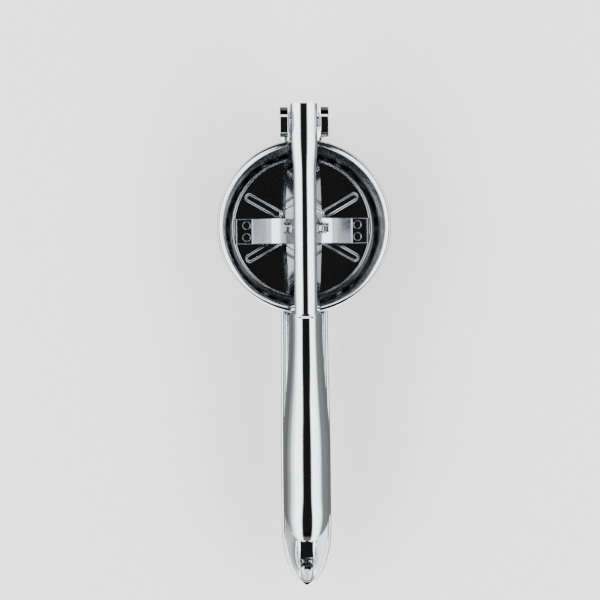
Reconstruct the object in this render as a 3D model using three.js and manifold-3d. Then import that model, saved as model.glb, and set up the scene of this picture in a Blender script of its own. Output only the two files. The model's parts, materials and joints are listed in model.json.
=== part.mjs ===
// Potato ricer: a perforated basket with a lower handle, and a hinged lever that drives a
// pressing disc down into the basket.
// Millimetres. Z up, origin at the centre of the basket's underside, +Y towards the hinge,
// +X to the right. Modelled closed, with the disc just above the basket floor.

import * as THREE from 'three';
import { mergeVertices } from 'three/addons/utils/BufferGeometryUtils.js';
import Module from 'manifold-3d';

const wasm = await Module();
wasm.setup();

// ---------------------------------------------------------------- driving dimensions

const gap = 0.3;                    // clearance between neighbouring pieces

// Basket
const basketFloorRadius = 41.8;     // inside, at the floor
const basketMouthRadius = 43.5;     // inside, at the rim
const basketDepth = 48;             // inside, floor to rim top
const basketSheet = 1;
const basketCorner = 3;             // inside corner between floor and wall
const rimBead = 3.6;                // diameter of the rolled rim
const rimCurl = 240;                // degrees of roll
const holeRadius = 1.5;
const holePitch = 7.2;
const holeField = 37;               // radius that the hole centres stay inside
const holeSides = 6;                // the modelled holes have flat sides

// Lever hinge, behind the basket
const hingeBehindRim = 7.6;         // hinge axis, measured from the outside of the rim
const hingePinRadius = 2.75;
const hingeHeadRadius = 5;
const earRadius = 7.85;
const earSheet = 1.6;
const earFlange = 4.4;              // width of the turned-out edge, ear sheet included
const washerRadius = 5.4;
const washerThickness = 0.5;
const bushWall = 0.8;
const earSeat = 2;                  // depth of the ears inside the rim's outer radius
const earHeelRise = 3;              // foot of the ears above the saddle's lower edge
const earShoulder = 3;              // where the ears reach full width, below the rim
const earFlangeRise = 4;            // where the turned-out edge starts, above the rim

// Lever arm: an inverted channel with flared flanks
const armAboveRim = 27;             // crown at the hinge end
const hingeBelowCrown = 6;
const armSlope = 0.055;             // fall of the crown towards the grip
const armLevelTo = 30;              // the crown starts to fall here, along Y
const armBlend = 40;                // length over which the fall sets in
const armNarrowsAt = 28;            // the hinge end's shape is left behind here, along Y
const armHalfWidthHinge = 7;        // at the shoulders, by the hinge
const armHalfWidth = 6;             // at the shoulders, over the basket
const armFlareHinge = 0.04;         // widening per millimetre of depth, by the hinge
const armFlare = 0.13;              // the same, over the basket
const armSheet = 1.5;
const armCrown = 3.2;               // rise of the crown above the shoulders
const armTipRadius = 9.5;           // tip of the lever, measured from the hinge axis
const armTail = 72;                 // length of arm inside the grip
const armTailRise = 3;              // tail's lower edge above the grip's
const lipClear = 8;                 // arm's lower edge above the rim, where it leaves the basket

// Plunger pin, through the lever's flanks
const pinDrop = 22;                 // plunger pin below the hinge axis
const pinY = -1;
const plungerPinRadius = 2.5;
const pinBossRadius = 7;            // flank material around the pin
const pinHeadRadius = 3.1;
const pinHeadThickness = 1.1;
const pinNeckRadius = 1.8;
const pinTailLength = 3.6;          // pin beyond the right flank
const pinWasherRadius = 3.4;
const pinBushWall = 1.3;            // of the bush and spacers on the plunger pin
const clipThickness = 0.8;
const clipMouth = 2.4;

// Plunger: pressing disc and its strap
const discRadius = 39.3;
const discSheet = 1.2;
const discLip = 2.2;                // height of the turned-up edge
const discBend = 1.6;               // its bend radius, outside
const discY = 1;                    // disc centre, towards the hinge of the basket axis
const discLift = 1;                 // disc above the basket floor when closed
const ribCount = 6;
const ribWidth = 4.8;
const ribHeight = 1;
const ribInner = 13;
const ribOuter = 36;
const strapSheet = 1.6;
const strapWidth = 14;
const strapFootInner = 27.5;
const strapFootOuter = 36.2;
const strapLegHalf = 6.2;           // outside of the upright legs
const strapKnee = 36;               // knee of the strap below the pin
const strapCrown = 6;               // top of the strap above the pin
const strapRivetRadius = 1.4;
const strapRivetSpacing = 6.6;
const strapRivetX = 30.8;
const strapRivetHeadRadius = 2.3;
const strapRivetHeadThickness = 0.6;

// Handles
const seamBehindRim = 0.9;          // front edge of the upper grip, measured from the rim
const gripLength = 122.6;
const gripSheet = 1;
const gripFrontClear = 3.2;         // front half-width beyond the arm's shoulders
const gripHalfWidth = 12.9;
const gripSwell = [4, 82];          // the grip widens between these distances from its front
const gripDepthFront = 17.2;
const gripDepth = 15;
const gripDepthBlend = 60;
const gripNose = 21.4;              // length of the rounded end, seen from above
const gripCrownShare = 1.15;        // the crown's rounding, as a share of that
const gripPower = 3.1;              // squareness of the grip's section
const gripSkirt = 1;                // straight wall below the bow
const gripStuds = [20, 56];         // distances from the grip's front
const lowerExtra = 24;              // lower handle beyond the upper grip
const lowerBelowRim = 11;           // top edges of the trough, below the rim
const lowerDepth = 18;              // at the front
const lowerEndDepth = 7;            // before the rounded end
const lowerShallowEnd = 172;        // it is reached at this distance from the axis
const lowerSheet = 1.2;
const lowerHalfWidthFront = 12.7;
const lowerHalfWidth = 13.5;
const lowerSwell = [48, 130];       // the trough widens between these distances from the axis
const lowerNose = 33.5;
const lowerFloorShare = 0.45;       // the floor's rounding, as a share of that
const lowerPower = 3;               // squareness of the trough's section

// Brackets on the basket wall
const saddleSheet = 1.6;
const saddleTopClear = 1.2;         // below the rolled rim
const rearSaddleHeight = 31;
const rearSaddleHalfAngle = 22;
const frontSaddleHeight = 27;
const frontSaddleHalfAngle = 17;
const tongueHalfWidth = 5.6;
const tongueLength = 52;
const tongueSheet = 2;
const gussetLength = 14;            // stiffening web between the saddle and the tongue
const gussetHeight = 13;
const gussetTop = 3;
const gussetSheet = 2;
const tongueRivets = [18, 40];      // distances from the rim
const rivetMargin = 6;              // rear rivets from the saddle's edges
const rearRivetSpacing = 9;
const frontRivetSpacing = 11;
const rivetRadius = 1.8;
const rivetHeadRadius = 2.8;
const rivetHeadThickness = 0.9;
const rivetSlack = 0.35;            // room for the wall's curve and taper under the heads

// ---------------------------------------------------------------- derived positions

const rimTop = basketSheet + basketDepth;
const rimRadius = basketMouthRadius + rimBead;
const hingeY = rimRadius + hingeBehindRim;
const floorTop = basketSheet;
const discBottom = floorTop + discLift;
const discTop = discBottom + discSheet;
const armTopHeight = rimTop + armAboveRim;
const hingeZ = armTopHeight - hingeBelowCrown;
const pinZ = hingeZ - pinDrop;
const armDepthAtHinge = armTopHeight - armCrown - (hingeZ - armTipRadius);
const armFootAtHinge = armHalfWidthHinge + armFlareHinge * armDepthAtHinge;
const earInner = armFootAtHinge + washerThickness + 2 * gap;
const seamY = -(rimRadius + seamBehindRim);
const gripEndY = seamY - gripLength;
const gripHalfWidthFront = armHalfWidth + gripFrontClear;
const lowerEndY = gripEndY - lowerExtra;
const lowerTopHeight = rimTop - lowerBelowRim;
const lowerFloor = lowerTopHeight - lowerDepth;
const saddleTop = rimTop - rimBead - saddleTopClear;

// ---------------------------------------------------------------- solids

const roundSegments = 48;
const pinSegments = 14;
const smallSegments = 12;
const past = 1;                     // how far a cutter runs past the piece it cuts
const bond = 0.1;                   // overlap of shapes that are joined into one solid
const X = new THREE.Vector3(1, 0, 0);
const Y = new THREE.Vector3(0, 1, 0);
const Z = new THREE.Vector3(0, 0, 1);

function solid(geometry) {
  const bare = geometry.clone();
  bare.deleteAttribute('normal');
  bare.deleteAttribute('uv');
  const merged = mergeVertices(bare, 1e-4);
  return new wasm.Manifold(new wasm.Mesh({
    numProp: 3,
    vertProperties: new Float32Array(merged.attributes.position.array),
    triVerts: new Uint32Array(merged.index.array),
  }));
}

function join(first, ...others) {
  return others.reduce((whole, part) => whole.add(part), first);
}

function cut(first, ...others) {
  return others.reduce((whole, part) => whole.subtract(part), first);
}

function shapeOf(points) {
  return new THREE.Shape(points.map(([u, v]) => new THREE.Vector2(u, v)));
}

function extruded(shape, depth) {
  const settings = { depth, bevelEnabled: false, curveSegments: 12 };
  return new THREE.ExtrudeGeometry(shape, settings);
}

// A shape drawn in Y and Z, carried along X.
function plateAlongX(shape, from, to) {
  const geometry = extruded(shape, to - from);
  geometry.applyMatrix4(new THREE.Matrix4().makeBasis(Y, Z, X));
  return solid(geometry.translate(from, 0, 0));
}

// A shape drawn in X and Z, centred on the given Y.
function plateAlongY(shape, width, y) {
  const geometry = extruded(shape, width);
  geometry.applyMatrix4(new THREE.Matrix4().makeBasis(X, Z, Y.clone().negate()));
  return solid(geometry.translate(0, y + width / 2, 0));
}

// A shape drawn in X and Y, carried along Z.
function plateAlongZ(shape, from, to) {
  return solid(extruded(shape, to - from).translate(0, 0, from));
}

function rodAlongX(radius, from, to, y, z, segments = pinSegments) {
  const geometry = new THREE.CylinderGeometry(radius, radius, to - from, segments);
  return solid(geometry.rotateZ(-Math.PI / 2).translate((from + to) / 2, y, z));
}

function rodAlongY(radius, from, to, x, z, segments = pinSegments) {
  const geometry = new THREE.CylinderGeometry(radius, radius, to - from, segments);
  return solid(geometry.translate(x, (from + to) / 2, z));
}

function rodAlongZ(radius, from, to, x, y, segments = pinSegments) {
  const geometry = new THREE.CylinderGeometry(radius, radius, to - from, segments);
  return solid(geometry.rotateX(Math.PI / 2).translate(x, y, (from + to) / 2));
}

function box(low, high) {
  const size = high.map((value, i) => value - low[i]);
  const middle = high.map((value, i) => (value + low[i]) / 2);
  return solid(new THREE.BoxGeometry(...size).translate(...middle));
}

// A closed radius and height outline, turned about Z.
function turned(outline, segments = roundSegments) {
  const points = [...outline, outline[0]].map(([r, z]) => new THREE.Vector2(r, z));
  return solid(new THREE.LatheGeometry(points, segments).rotateX(Math.PI / 2));
}

// A closed section in X and Z that changes along falling Y stations.
function lofted(sectionAt, stations) {
  const reference = sectionAt(stations[Math.floor(stations.length / 2)]);
  const steps = stations.length - 1;
  const settings = { depth: 1, steps, bevelEnabled: false };
  const geometry = new THREE.ExtrudeGeometry(shapeOf(reference), settings);
  const away = (point, u, v) => Math.hypot(point[0] - u, point[1] - v);
  const nearest = (u, v) => reference.reduce((best, point, i) =>
    (away(point, u, v) < away(reference[best], u, v) ? i : best), 0);
  const sections = stations.map(sectionAt);
  const position = geometry.attributes.position;
  for (let v = 0; v < position.count; v += 1) {
    const point = nearest(position.getX(v), position.getY(v));
    const station = Math.round(position.getZ(v) * steps);
    const [x, z] = sections[station][point];
    position.setXYZ(v, x, stations[station], z);
  }
  return solid(geometry);
}

function arcPoints(centre, radius, fromDegrees, toDegrees, steps) {
  return Array.from({ length: steps + 1 }, (_, i) => {
    const angle = THREE.MathUtils.degToRad(fromDegrees + (toDegrees - fromDegrees) * i / steps);
    return [centre[0] + radius * Math.cos(angle), centre[1] + radius * Math.sin(angle)];
  });
}

// A strip of constant thickness along an open path; the path is its left-hand face.
function strip(path, thickness) {
  const points = path.map(([u, v]) => new THREE.Vector2(u, v));
  const offset = points.map((point, i) => {
    const before = points[i].clone().sub(points[Math.max(i - 1, 0)]);
    const after = points[Math.min(i + 1, points.length - 1)].clone().sub(point);
    const a = (i > 0 ? before : after).clone().normalize();
    const b = (i < points.length - 1 ? after : before).clone().normalize();
    const normal = new THREE.Vector2(a.y + b.y, -a.x - b.x).normalize();
    return point.clone().addScaledVector(normal, thickness / (normal.x * a.y - normal.y * a.x));
  });
  return new THREE.Shape([...points, ...offset.reverse()]);
}

// Where the line that is tangent to two circles, along their lower sides, touches them.
function lowerTangent(from, fromRadius, to, toRadius) {
  const apart = Math.hypot(to[0] - from[0], to[1] - from[1]);
  const line = Math.atan2(to[1] - from[1], to[0] - from[0]);
  const tilt = Math.acos((fromRadius - toRadius) / apart);
  const angle = line + tilt;
  const touch = (centre, radius) =>
    [centre[0] + radius * Math.cos(angle), centre[1] + radius * Math.sin(angle)];
  return { angle, start: touch(from, fromRadius), end: touch(to, toRadius) };
}

// ---------------------------------------------------------------- the scene

const steel = { color: 0xc9ccd0, roughness: 0.12, metalness: 1 };
const finishes = {
  polished: new THREE.MeshStandardMaterial(steel),
  disc: new THREE.MeshStandardMaterial({ ...steel, color: 0xbfc2c6, roughness: 0.16 }),
  fastener: new THREE.MeshStandardMaterial({ ...steel, color: 0xb4b7bb, roughness: 0.25 }),
};

const ricer = new THREE.Group();
ricer.name = 'potato_ricer';

function place(name, manifold, finish) {
  const data = manifold.getMesh();
  const geometry = new THREE.BufferGeometry();
  const position = new Float32Array(data.vertProperties);
  geometry.setAttribute('position', new THREE.BufferAttribute(position, 3));
  geometry.setIndex(new THREE.BufferAttribute(new Uint32Array(data.triVerts), 1));
  geometry.computeVertexNormals();
  const mesh = new THREE.Mesh(geometry, finishes[finish].clone());
  mesh.name = name;
  ricer.add(mesh);
}

// ---------------------------------------------------------------- basket

function wallRadius(z) {
  const rise = (z - floorTop) / basketDepth;
  return basketFloorRadius + (basketMouthRadius - basketFloorRadius) * rise;
}

function makeBasket() {
  const beadRadius = rimBead / 2;
  const bead = [basketMouthRadius + beadRadius, rimTop - beadRadius];
  const corner = [basketFloorRadius - basketCorner, floorTop + basketCorner];
  const outline = [
    [0, 0],
    ...arcPoints(corner, basketCorner + basketSheet, -90, 0, 3),
    [bead[0] - beadRadius + basketSheet, bead[1]],
    ...arcPoints(bead, beadRadius - basketSheet, 120, 180 - rimCurl, 3),
    ...arcPoints(bead, beadRadius, 180 - rimCurl, 180, 6),
    ...arcPoints(corner, basketCorner, 0, -90, 3),
    [0, floorTop],
  ];
  const holes = [];
  const rows = Math.ceil(holeField / holePitch) + 1;
  for (let row = -rows; row <= rows; row += 1) {
    for (let column = -2 * rows; column <= 2 * rows; column += 1) {
      const x = holePitch * (column + row / 2);
      const y = holePitch * row * Math.sqrt(3) / 2;
      const reach = Math.hypot(x, y);
      if (reach > holePitch / 2 && reach < holeField) {
        holes.push(rodAlongZ(holeRadius, -past, floorTop + past, x, y, holeSides));
      }
    }
  }
  return cut(turned(outline), ...holes, ...rearRivetHoles(), ...frontRivetHoles());
}

// ---------------------------------------------------------------- brackets on the wall

// A plate that follows the basket's outer wall, between two heights and half-angles.
function saddle(bottom, halfAngle, side) {
  const inner = (z) => wallRadius(z) + basketSheet + gap;
  const ring = turned([
    [inner(bottom), bottom],
    [inner(bottom) + saddleSheet, bottom],
    [inner(saddleTop) + saddleSheet, saddleTop],
    [inner(saddleTop), saddleTop],
  ]);
  const reach = 2 * rimRadius;
  const spread = reach * Math.tan(THREE.MathUtils.degToRad(halfAngle));
  const wedge = shapeOf([[0, 0], [spread, side * reach], [-spread, side * reach]]);
  return ring.intersect(plateAlongZ(wedge, bottom - past, saddleTop + past));
}

const rearRivets = [
  { name: 'hinge_rivet_left', x: -rearRivetSpacing / 2, z: saddleTop - rivetMargin },
  { name: 'hinge_rivet_right', x: rearRivetSpacing / 2, z: saddleTop - rivetMargin },
  { name: 'hinge_rivet_lower', x: 0, z: saddleTop - rearSaddleHeight + rivetMargin },
];
const frontRivetZ = lowerTopHeight + rivetHeadRadius + gap;
const frontRivets = [
  { name: 'handle_rivet_left', x: -frontRivetSpacing / 2, z: frontRivetZ },
  { name: 'handle_rivet_right', x: frontRivetSpacing / 2, z: frontRivetZ },
];

// Radial rivets: built on +Y at their own radius, then turned to their place.
function wallRivet(rivet, side, parts) {
  const angle = Math.asin(rivet.x / wallRadius(rivet.z));
  const middle = wallRadius(rivet.z) + basketSheet / 2;
  const turn = side > 0 ? -angle : Math.PI + angle;
  const turnDegrees = THREE.MathUtils.radToDeg(turn);
  return parts(middle).rotate([0, 0, turnDegrees]);
}

function wallRivetHoles(rivets, side) {
  const reach = basketSheet + saddleSheet + past;
  return rivets.map((rivet) => wallRivet(rivet, side, (middle) =>
    rodAlongY(rivetRadius + gap, middle - reach, middle + 2 * reach, 0, rivet.z)));
}

function rearRivetHoles() {
  return wallRivetHoles(rearRivets, 1);
}

function frontRivetHoles() {
  return wallRivetHoles(frontRivets, -1);
}

function makeWallRivet(rivet, side) {
  return wallRivet(rivet, side, (middle) => {
    const inside = middle - basketSheet / 2 - gap - rivetSlack;
    const outside = middle + basketSheet / 2 + 2 * gap + saddleSheet + rivetSlack;
    return join(
      rodAlongY(rivetHeadRadius, inside - rivetHeadThickness, inside, 0, rivet.z),
      rodAlongY(rivetRadius, inside - bond, outside + bond, 0, rivet.z),
      rodAlongY(rivetHeadRadius, outside, outside + rivetHeadThickness, 0, rivet.z),
    );
  });
}

function makeHingeBracket() {
  const bottom = saddleTop - rearSaddleHeight;
  const front = hingeY - earRadius;
  const plate = new THREE.Shape();
  plate.moveTo(rimRadius - earSeat, bottom + earHeelRise);
  plate.lineTo(rimRadius + earSeat / 4, bottom + earHeelRise);
  plate.lineTo(hingeY + earRadius, rimTop - earShoulder);
  plate.lineTo(hingeY + earRadius, hingeZ);
  plate.absarc(hingeY, hingeZ, earRadius, 0, Math.PI, false);
  plate.lineTo(front, saddleTop + gap);
  plate.lineTo(rimRadius - earSeat, saddleTop - gap);
  const arch = new THREE.Shape();
  const flangeFoot = rimTop + earFlangeRise;
  const flangeInner = earRadius - earSheet;
  arch.moveTo(hingeY + earRadius, flangeFoot);
  arch.absarc(hingeY, hingeZ, earRadius, 0, Math.PI, false);
  arch.lineTo(front, flangeFoot);
  arch.lineTo(front + earSheet, flangeFoot);
  arch.absarc(hingeY, hingeZ, flangeInner, Math.PI, 0, true);
  arch.lineTo(hingeY + earRadius - earSheet, flangeFoot);
  const ears = [
    plateAlongX(plate, earInner, earInner + earSheet),
    plateAlongX(arch, earInner, earInner + earFlange),
    plateAlongX(plate, -earInner - earSheet, -earInner),
    plateAlongX(arch, -earInner - earFlange, -earInner),
  ];
  const reach = earInner + earFlange + past;
  const pinHole = rodAlongX(hingePinRadius + gap, -reach, reach, hingeY, hingeZ);
  const body = join(saddle(bottom, rearSaddleHalfAngle, 1), ...ears);
  return cut(body, pinHole, ...rearRivetHoles());
}

// Height of the trough's inner skin at the tongue's edges, with room for its facets.
const tongueShare = tongueHalfWidth / (lowerHalfWidthFront - lowerSheet);
const troughDepth = (lowerDepth - lowerSheet) * (1 - tongueShare ** lowerPower) ** (1 / lowerPower);
const tongueBottom = lowerTopHeight - troughDepth + 2 * gap;
const tongueFrontY = -(wallRadius(tongueBottom) + basketSheet + gap + saddleSheet / 2);
const tongueEndY = tongueFrontY - tongueLength;
const tongueRivetYs = tongueRivets.map((distance) => -(rimRadius + distance));

function makeFrontBracket() {
  const bottom = saddleTop - frontSaddleHeight;
  const tongue = box(
    [-tongueHalfWidth, tongueEndY, tongueBottom],
    [tongueHalfWidth, tongueFrontY, tongueBottom + tongueSheet],
  );
  const gusset = plateAlongX(shapeOf([
    [tongueFrontY - gussetLength, tongueBottom + tongueSheet / 2],
    [tongueFrontY, tongueBottom + tongueSheet / 2],
    [tongueFrontY, tongueBottom + gussetHeight],
    [tongueFrontY - gussetTop, tongueBottom + gussetHeight],
  ]), -gussetSheet / 2, gussetSheet / 2);
  const tongueTop = tongueBottom + tongueSheet;
  const holes = tongueRivetYs.map((y) =>
    rodAlongZ(rivetRadius + gap, tongueBottom - past, tongueTop + past, 0, y));
  const body = join(saddle(bottom, frontSaddleHalfAngle, -1), tongue, gusset);
  return cut(body, ...holes, ...frontRivetHoles());
}

// ---------------------------------------------------------------- handles

// Share of full size left at y, where a rounded end of the given length begins at start.
function nose(y, start, length) {
  const along = Math.max(0, (start - y) / length);
  return Math.sqrt(Math.max(0, 1 - along * along));
}

function noseStations(start, length) {
  return [18, 36, 52, 66, 77, 84].map((degrees) =>
    start - length * Math.sin(THREE.MathUtils.degToRad(degrees)));
}

function evenStations(from, to, count) {
  return Array.from({ length: count + 1 }, (_, i) => from + (to - from) * i / count);
}

// Half of a superellipse, from one edge over the bow to the other, closed by its chord.
function bow(halfWidth, height, baseZ, power, steps = 12) {
  return Array.from({ length: steps + 1 }, (_, i) => {
    const angle = Math.PI * i / steps;
    const c = Math.cos(angle);
    const s = Math.sin(angle);
    const x = halfWidth * Math.sign(c) * Math.abs(c) ** (2 / power);
    return [x, baseZ + height * s ** (2 / power)];
  });
}

function armTop(y) {
  const along = Math.max(0, armLevelTo - y);
  const fall = along < armBlend ? along * along / (2 * armBlend) : along - armBlend / 2;
  return armTopHeight - armSlope * fall;
}

function gripTop(y) {
  return armTop(y) + gap + gripSheet;
}

function gripHalfAt(y) {
  const swell = THREE.MathUtils.smoothstep(seamY - y, ...gripSwell);
  return gripHalfWidthFront + (gripHalfWidth - gripHalfWidthFront) * swell;
}

function gripDepthAt(y) {
  const along = THREE.MathUtils.smoothstep(seamY - y, 0, gripDepthBlend);
  return gripDepthFront + (gripDepth - gripDepthFront) * along;
}

function gripBottom(y) {
  return gripTop(y) - gripDepthAt(y);
}

// Section of the grip's outer skin, or of its hollow when inset by the sheet.
function gripSection(inset, below) {
  const noseStart = gripEndY + gripNose;
  const length = gripNose - inset;
  const crownLength = gripNose * gripCrownShare;
  return (y) => {
    const half = (gripHalfAt(y) - inset) * nose(y, noseStart, length);
    const crown = nose(y, gripEndY + crownLength, crownLength - inset);
    const height = (gripDepthAt(y) - inset - gripSkirt) * crown;
    const base = gripBottom(y) + gripSkirt;
    return [[half, base - gripSkirt - below], ...bow(half, height, base, gripPower),
      [-half, base - gripSkirt - below]];
  };
}

function makeUpperGrip() {
  const noseStart = gripEndY + gripNose;
  const straight = evenStations(seamY, noseStart, 9);
  const outside = [...straight, ...noseStations(noseStart, gripNose)];
  const inside = [seamY + 2 * past, ...straight.slice(1),
    ...noseStations(noseStart, gripNose - gripSheet)];
  return cut(lofted(gripSection(0, 0), outside), lofted(gripSection(gripSheet, 2 * past), inside));
}

function lowerSection(inset, above) {
  const noseStart = lowerEndY + lowerNose;
  const floorNose = lowerNose * lowerFloorShare;
  return (y) => {
    const swell = THREE.MathUtils.smoothstep(-y, ...lowerSwell);
    const full = lowerHalfWidthFront + (lowerHalfWidth - lowerHalfWidthFront) * swell;
    const half = (full - inset) * nose(y, noseStart, lowerNose - inset);
    const rise = THREE.MathUtils.smoothstep(-y, -tongueEndY, lowerShallowEnd);
    const level = lowerDepth + (lowerEndDepth - lowerDepth) * rise;
    const depth = (level - inset) * nose(y, lowerEndY + floorNose, floorNose - inset);
    const rim = lowerTopHeight;
    return [[-half, rim + above], ...bow(half, -depth, rim, lowerPower).reverse(),
      [half, rim + above]];
  };
}

function makeLowerHandle() {
  const noseStart = lowerEndY + lowerNose;
  const front = -wallRadius(lowerFloor);       // trimmed to the basket's wall below
  const straight = evenStations(front, noseStart, 7);
  const outside = [...straight, ...noseStations(noseStart, lowerNose)];
  const inside = [front + 2 * past, ...straight.slice(1),
    ...noseStations(noseStart, lowerNose - lowerSheet)];
  const edgeDepth = 0.001;          // keeps the section's two ends apart from its chord
  const shell = cut(lofted(lowerSection(0, edgeDepth), outside),
    lofted(lowerSection(lowerSheet, 2 * past), inside));
  const seat = wallRadius(rimTop) + basketSheet + gap + saddleSheet + gap;
  const basketSpace = rodAlongZ(seat, 0, rimTop, 0, 0, roundSegments);
  const holes = tongueRivetYs.map((y) =>
    rodAlongZ(rivetRadius + gap, lowerFloor - past, tongueBottom, 0, y));
  return cut(shell, basketSpace, ...holes);
}

function makeTongueRivet(y) {
  const headTop = tongueBottom + tongueSheet + gap;
  const headBottom = lowerFloor - gap;
  return join(
    rodAlongZ(rivetHeadRadius, headTop, headTop + rivetHeadThickness, 0, y),
    rodAlongZ(rivetRadius, headBottom - bond, headTop + bond, 0, y),
    rodAlongZ(rivetHeadRadius, headBottom - rivetHeadThickness, headBottom, 0, y),
  );
}

// ---------------------------------------------------------------- lever arm

function armShape(y) {
  const towardsHinge = THREE.MathUtils.smoothstep(y, armNarrowsAt, hingeY - armTipRadius);
  return {
    half: armHalfWidth + (armHalfWidthHinge - armHalfWidth) * towardsHinge,
    flare: armFlare + (armFlareHinge - armFlare) * towardsHinge,
  };
}

// Outside half-width of the flank at the plunger pin's place, at height z.
function flankAt(y, z) {
  const { half, flare } = armShape(y);
  return half + flare * (armTop(y) - armCrown - z);
}

function armSection(inset, bottom) {
  return (y) => {
    const { half, flare } = armShape(y);
    const shoulder = armTop(y) - armCrown;
    const foot = half + flare * (shoulder - bottom) - inset;
    const crown = Array.from({ length: 9 }, (_, i) => {
      const angle = Math.PI * i / 8;
      return [(half - inset) * Math.cos(angle), shoulder + (armCrown - inset) * Math.sin(angle)];
    });
    return [[foot, bottom], ...crown, [-foot, bottom]];
  };
}

// Side outline of the arm: bosses around both pins, then a rising edge into the grip.
function armSideOutline() {
  const hinge = [hingeY, hingeZ];
  const pin = [pinY, pinZ];
  const lip = [-basketMouthRadius, rimTop + lipClear];
  const tail = [seamY - armTail, gripBottom(seamY - armTail) + armTailRise];
  const first = lowerTangent(hinge, armTipRadius, pin, pinBossRadius);
  const second = lowerTangent(pin, pinBossRadius, lip, 0);
  const above = armTopHeight + past;
  const shape = new THREE.Shape();
  shape.moveTo(hingeY + armTipRadius, above);
  shape.lineTo(hingeY + armTipRadius, hingeZ);
  shape.absarc(...hinge, armTipRadius, 0, first.angle, true);
  shape.lineTo(...first.end);
  shape.absarc(...pin, pinBossRadius, first.angle, second.angle, true);
  shape.lineTo(...lip);
  shape.lineTo(...tail);
  shape.lineTo(tail[0], above);
  return shape;
}

const gripRivetYs = gripStuds.map((distance) => seamY - distance);

const armReach = 2 * armHalfWidthHinge;      // beyond both flanks

function makeLeverArm() {
  const tip = hingeY + armTipRadius + past;
  const tail = seamY - armTail - past;
  const low = pinZ - pinBossRadius - past;
  const blendEnd = [tip, ...evenStations(hingeY - 5, armNarrowsAt, 5)];
  const stations = [...blendEnd, ...evenStations(10, tail, 6)];
  const hollow = [tip + past, ...stations.slice(1, -1), tail - past];
  const outer = lofted(armSection(0, low), stations);
  const inner = lofted(armSection(armSheet, low - past), hollow);
  const side = plateAlongX(armSideOutline(), -armReach, armReach);
  const shell = cut(outer, inner).intersect(side);
  const holes = [
    rodAlongX(hingePinRadius + gap, -armReach, armReach, hingeY, hingeZ),
    rodAlongX(plungerPinRadius + gap, -armReach, armReach, pinY, pinZ),
    ...gripRivetYs.map((y) =>
      rodAlongZ(rivetRadius + gap, armTop(y) - armCrown, armTop(y) + past, 0, y)),
  ];
  return cut(shell, ...holes);
}

// Studs welded inside the grip's skin and peened over under the arm's crown.
function makeGripRivet(y) {
  const top = gripTop(y) - gripSheet - gap;
  const headTop = armTop(y) - armSheet - 1.5 * gap;   // room for the crown's curve
  return join(
    rodAlongZ(rivetRadius, headTop - bond, top, 0, y),
    rodAlongZ(rivetHeadRadius, headTop - rivetHeadThickness, headTop, 0, y),
  );
}

// ---------------------------------------------------------------- hinge and plunger pins

function makeHingePin() {
  const head = earInner + earSheet + gap;
  const reach = earInner + earFlange - gap;
  return join(
    rodAlongX(hingePinRadius, -head - bond, reach, hingeY, hingeZ),
    rodAlongX(hingeHeadRadius, -reach, -head, hingeY, hingeZ),
  );
}

function ring(outer, inner, from, to, y, z) {
  return cut(rodAlongX(outer, from, to, y, z), rodAlongX(inner, from - past, to + past, y, z));
}

function makeHingeCap() {
  const from = earInner + earSheet + gap;
  const to = earInner + earFlange - gap;
  return ring(hingeHeadRadius, hingePinRadius + gap, from, to, hingeY, hingeZ);
}

function makeHingeWasher(side) {
  const outer = earInner - gap;
  const from = side > 0 ? outer - washerThickness : -outer;
  return ring(washerRadius, hingePinRadius + gap, from, from + washerThickness, hingeY, hingeZ);
}

// The bush ends below the curve of the crown's inside.
function makeHingeBush() {
  const radius = hingePinRadius + gap + bushWall;
  const crownInside = armTopHeight - armSheet - gap - (hingeZ + radius);
  const rise = 1 - crownInside / (armCrown - armSheet);
  const half = (armHalfWidthHinge - armSheet) * Math.sqrt(Math.max(0.2, 1 - rise * rise)) - 2 * gap;
  return ring(radius, hingePinRadius + gap, -half, half, hingeY, hingeZ);
}

const flankAtPin = flankAt(pinY, pinZ - pinHeadRadius) + gap;

function makePlungerPin() {
  const neckStart = flankAtPin + washerThickness + gap;
  const neckEnd = neckStart + clipThickness + 2 * gap;
  const end = flankAtPin + pinTailLength;
  return join(
    rodAlongX(pinHeadRadius, -flankAtPin - pinHeadThickness, -flankAtPin, pinY, pinZ),
    rodAlongX(plungerPinRadius, -flankAtPin - bond, neckStart, pinY, pinZ),
    rodAlongX(pinNeckRadius, neckStart - bond, neckEnd + bond, pinY, pinZ),
    rodAlongX(plungerPinRadius, neckEnd, end, pinY, pinZ),
  );
}

function makePinWasher() {
  const to = flankAtPin + washerThickness;
  return ring(pinWasherRadius, plungerPinRadius + gap, flankAtPin, to, pinY, pinZ);
}

// A spring clip in the pin's groove, open downwards.
function makePinClip() {
  const from = flankAtPin + washerThickness + 2 * gap;
  const to = from + clipThickness;
  const whole = ring(pinWasherRadius, pinNeckRadius + gap, from, to, pinY, pinZ);
  const slot = box(
    [from - past, pinY - clipMouth / 2, pinZ - pinWasherRadius - past],
    [to + past, pinY + clipMouth / 2, pinZ],
  );
  return cut(whole, slot);
}

const pinBushRadius = plungerPinRadius + pinBushWall;

function makePlungerSpacer(side) {
  const inner = strapLegHalf + gap;
  const outer = flankAt(pinY, pinZ + pinBushRadius) - armSheet - gap;
  const from = side > 0 ? inner : -outer;
  const to = from + outer - inner;
  return ring(pinBushRadius, plungerPinRadius + gap, from, to, pinY, pinZ);
}

function makePlungerBush() {
  const half = strapLegHalf - strapSheet - gap;
  return ring(pinBushRadius, plungerPinRadius + gap, -half, half, pinY, pinZ);
}

// ---------------------------------------------------------------- plunger

const footBottom = discTop + gap;
const strapRivets = [-1, 1].flatMap((side) => [-1, 1].map((end) => (
  { x: side * strapRivetX, y: pinY + end * strapRivetSpacing / 2 })));

function strapRivetHoles(from, to) {
  return strapRivets.map(({ x, y }) =>
    rodAlongZ(strapRivetRadius + gap, from - past, to + past, x, y, smallSegments));
}

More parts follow.
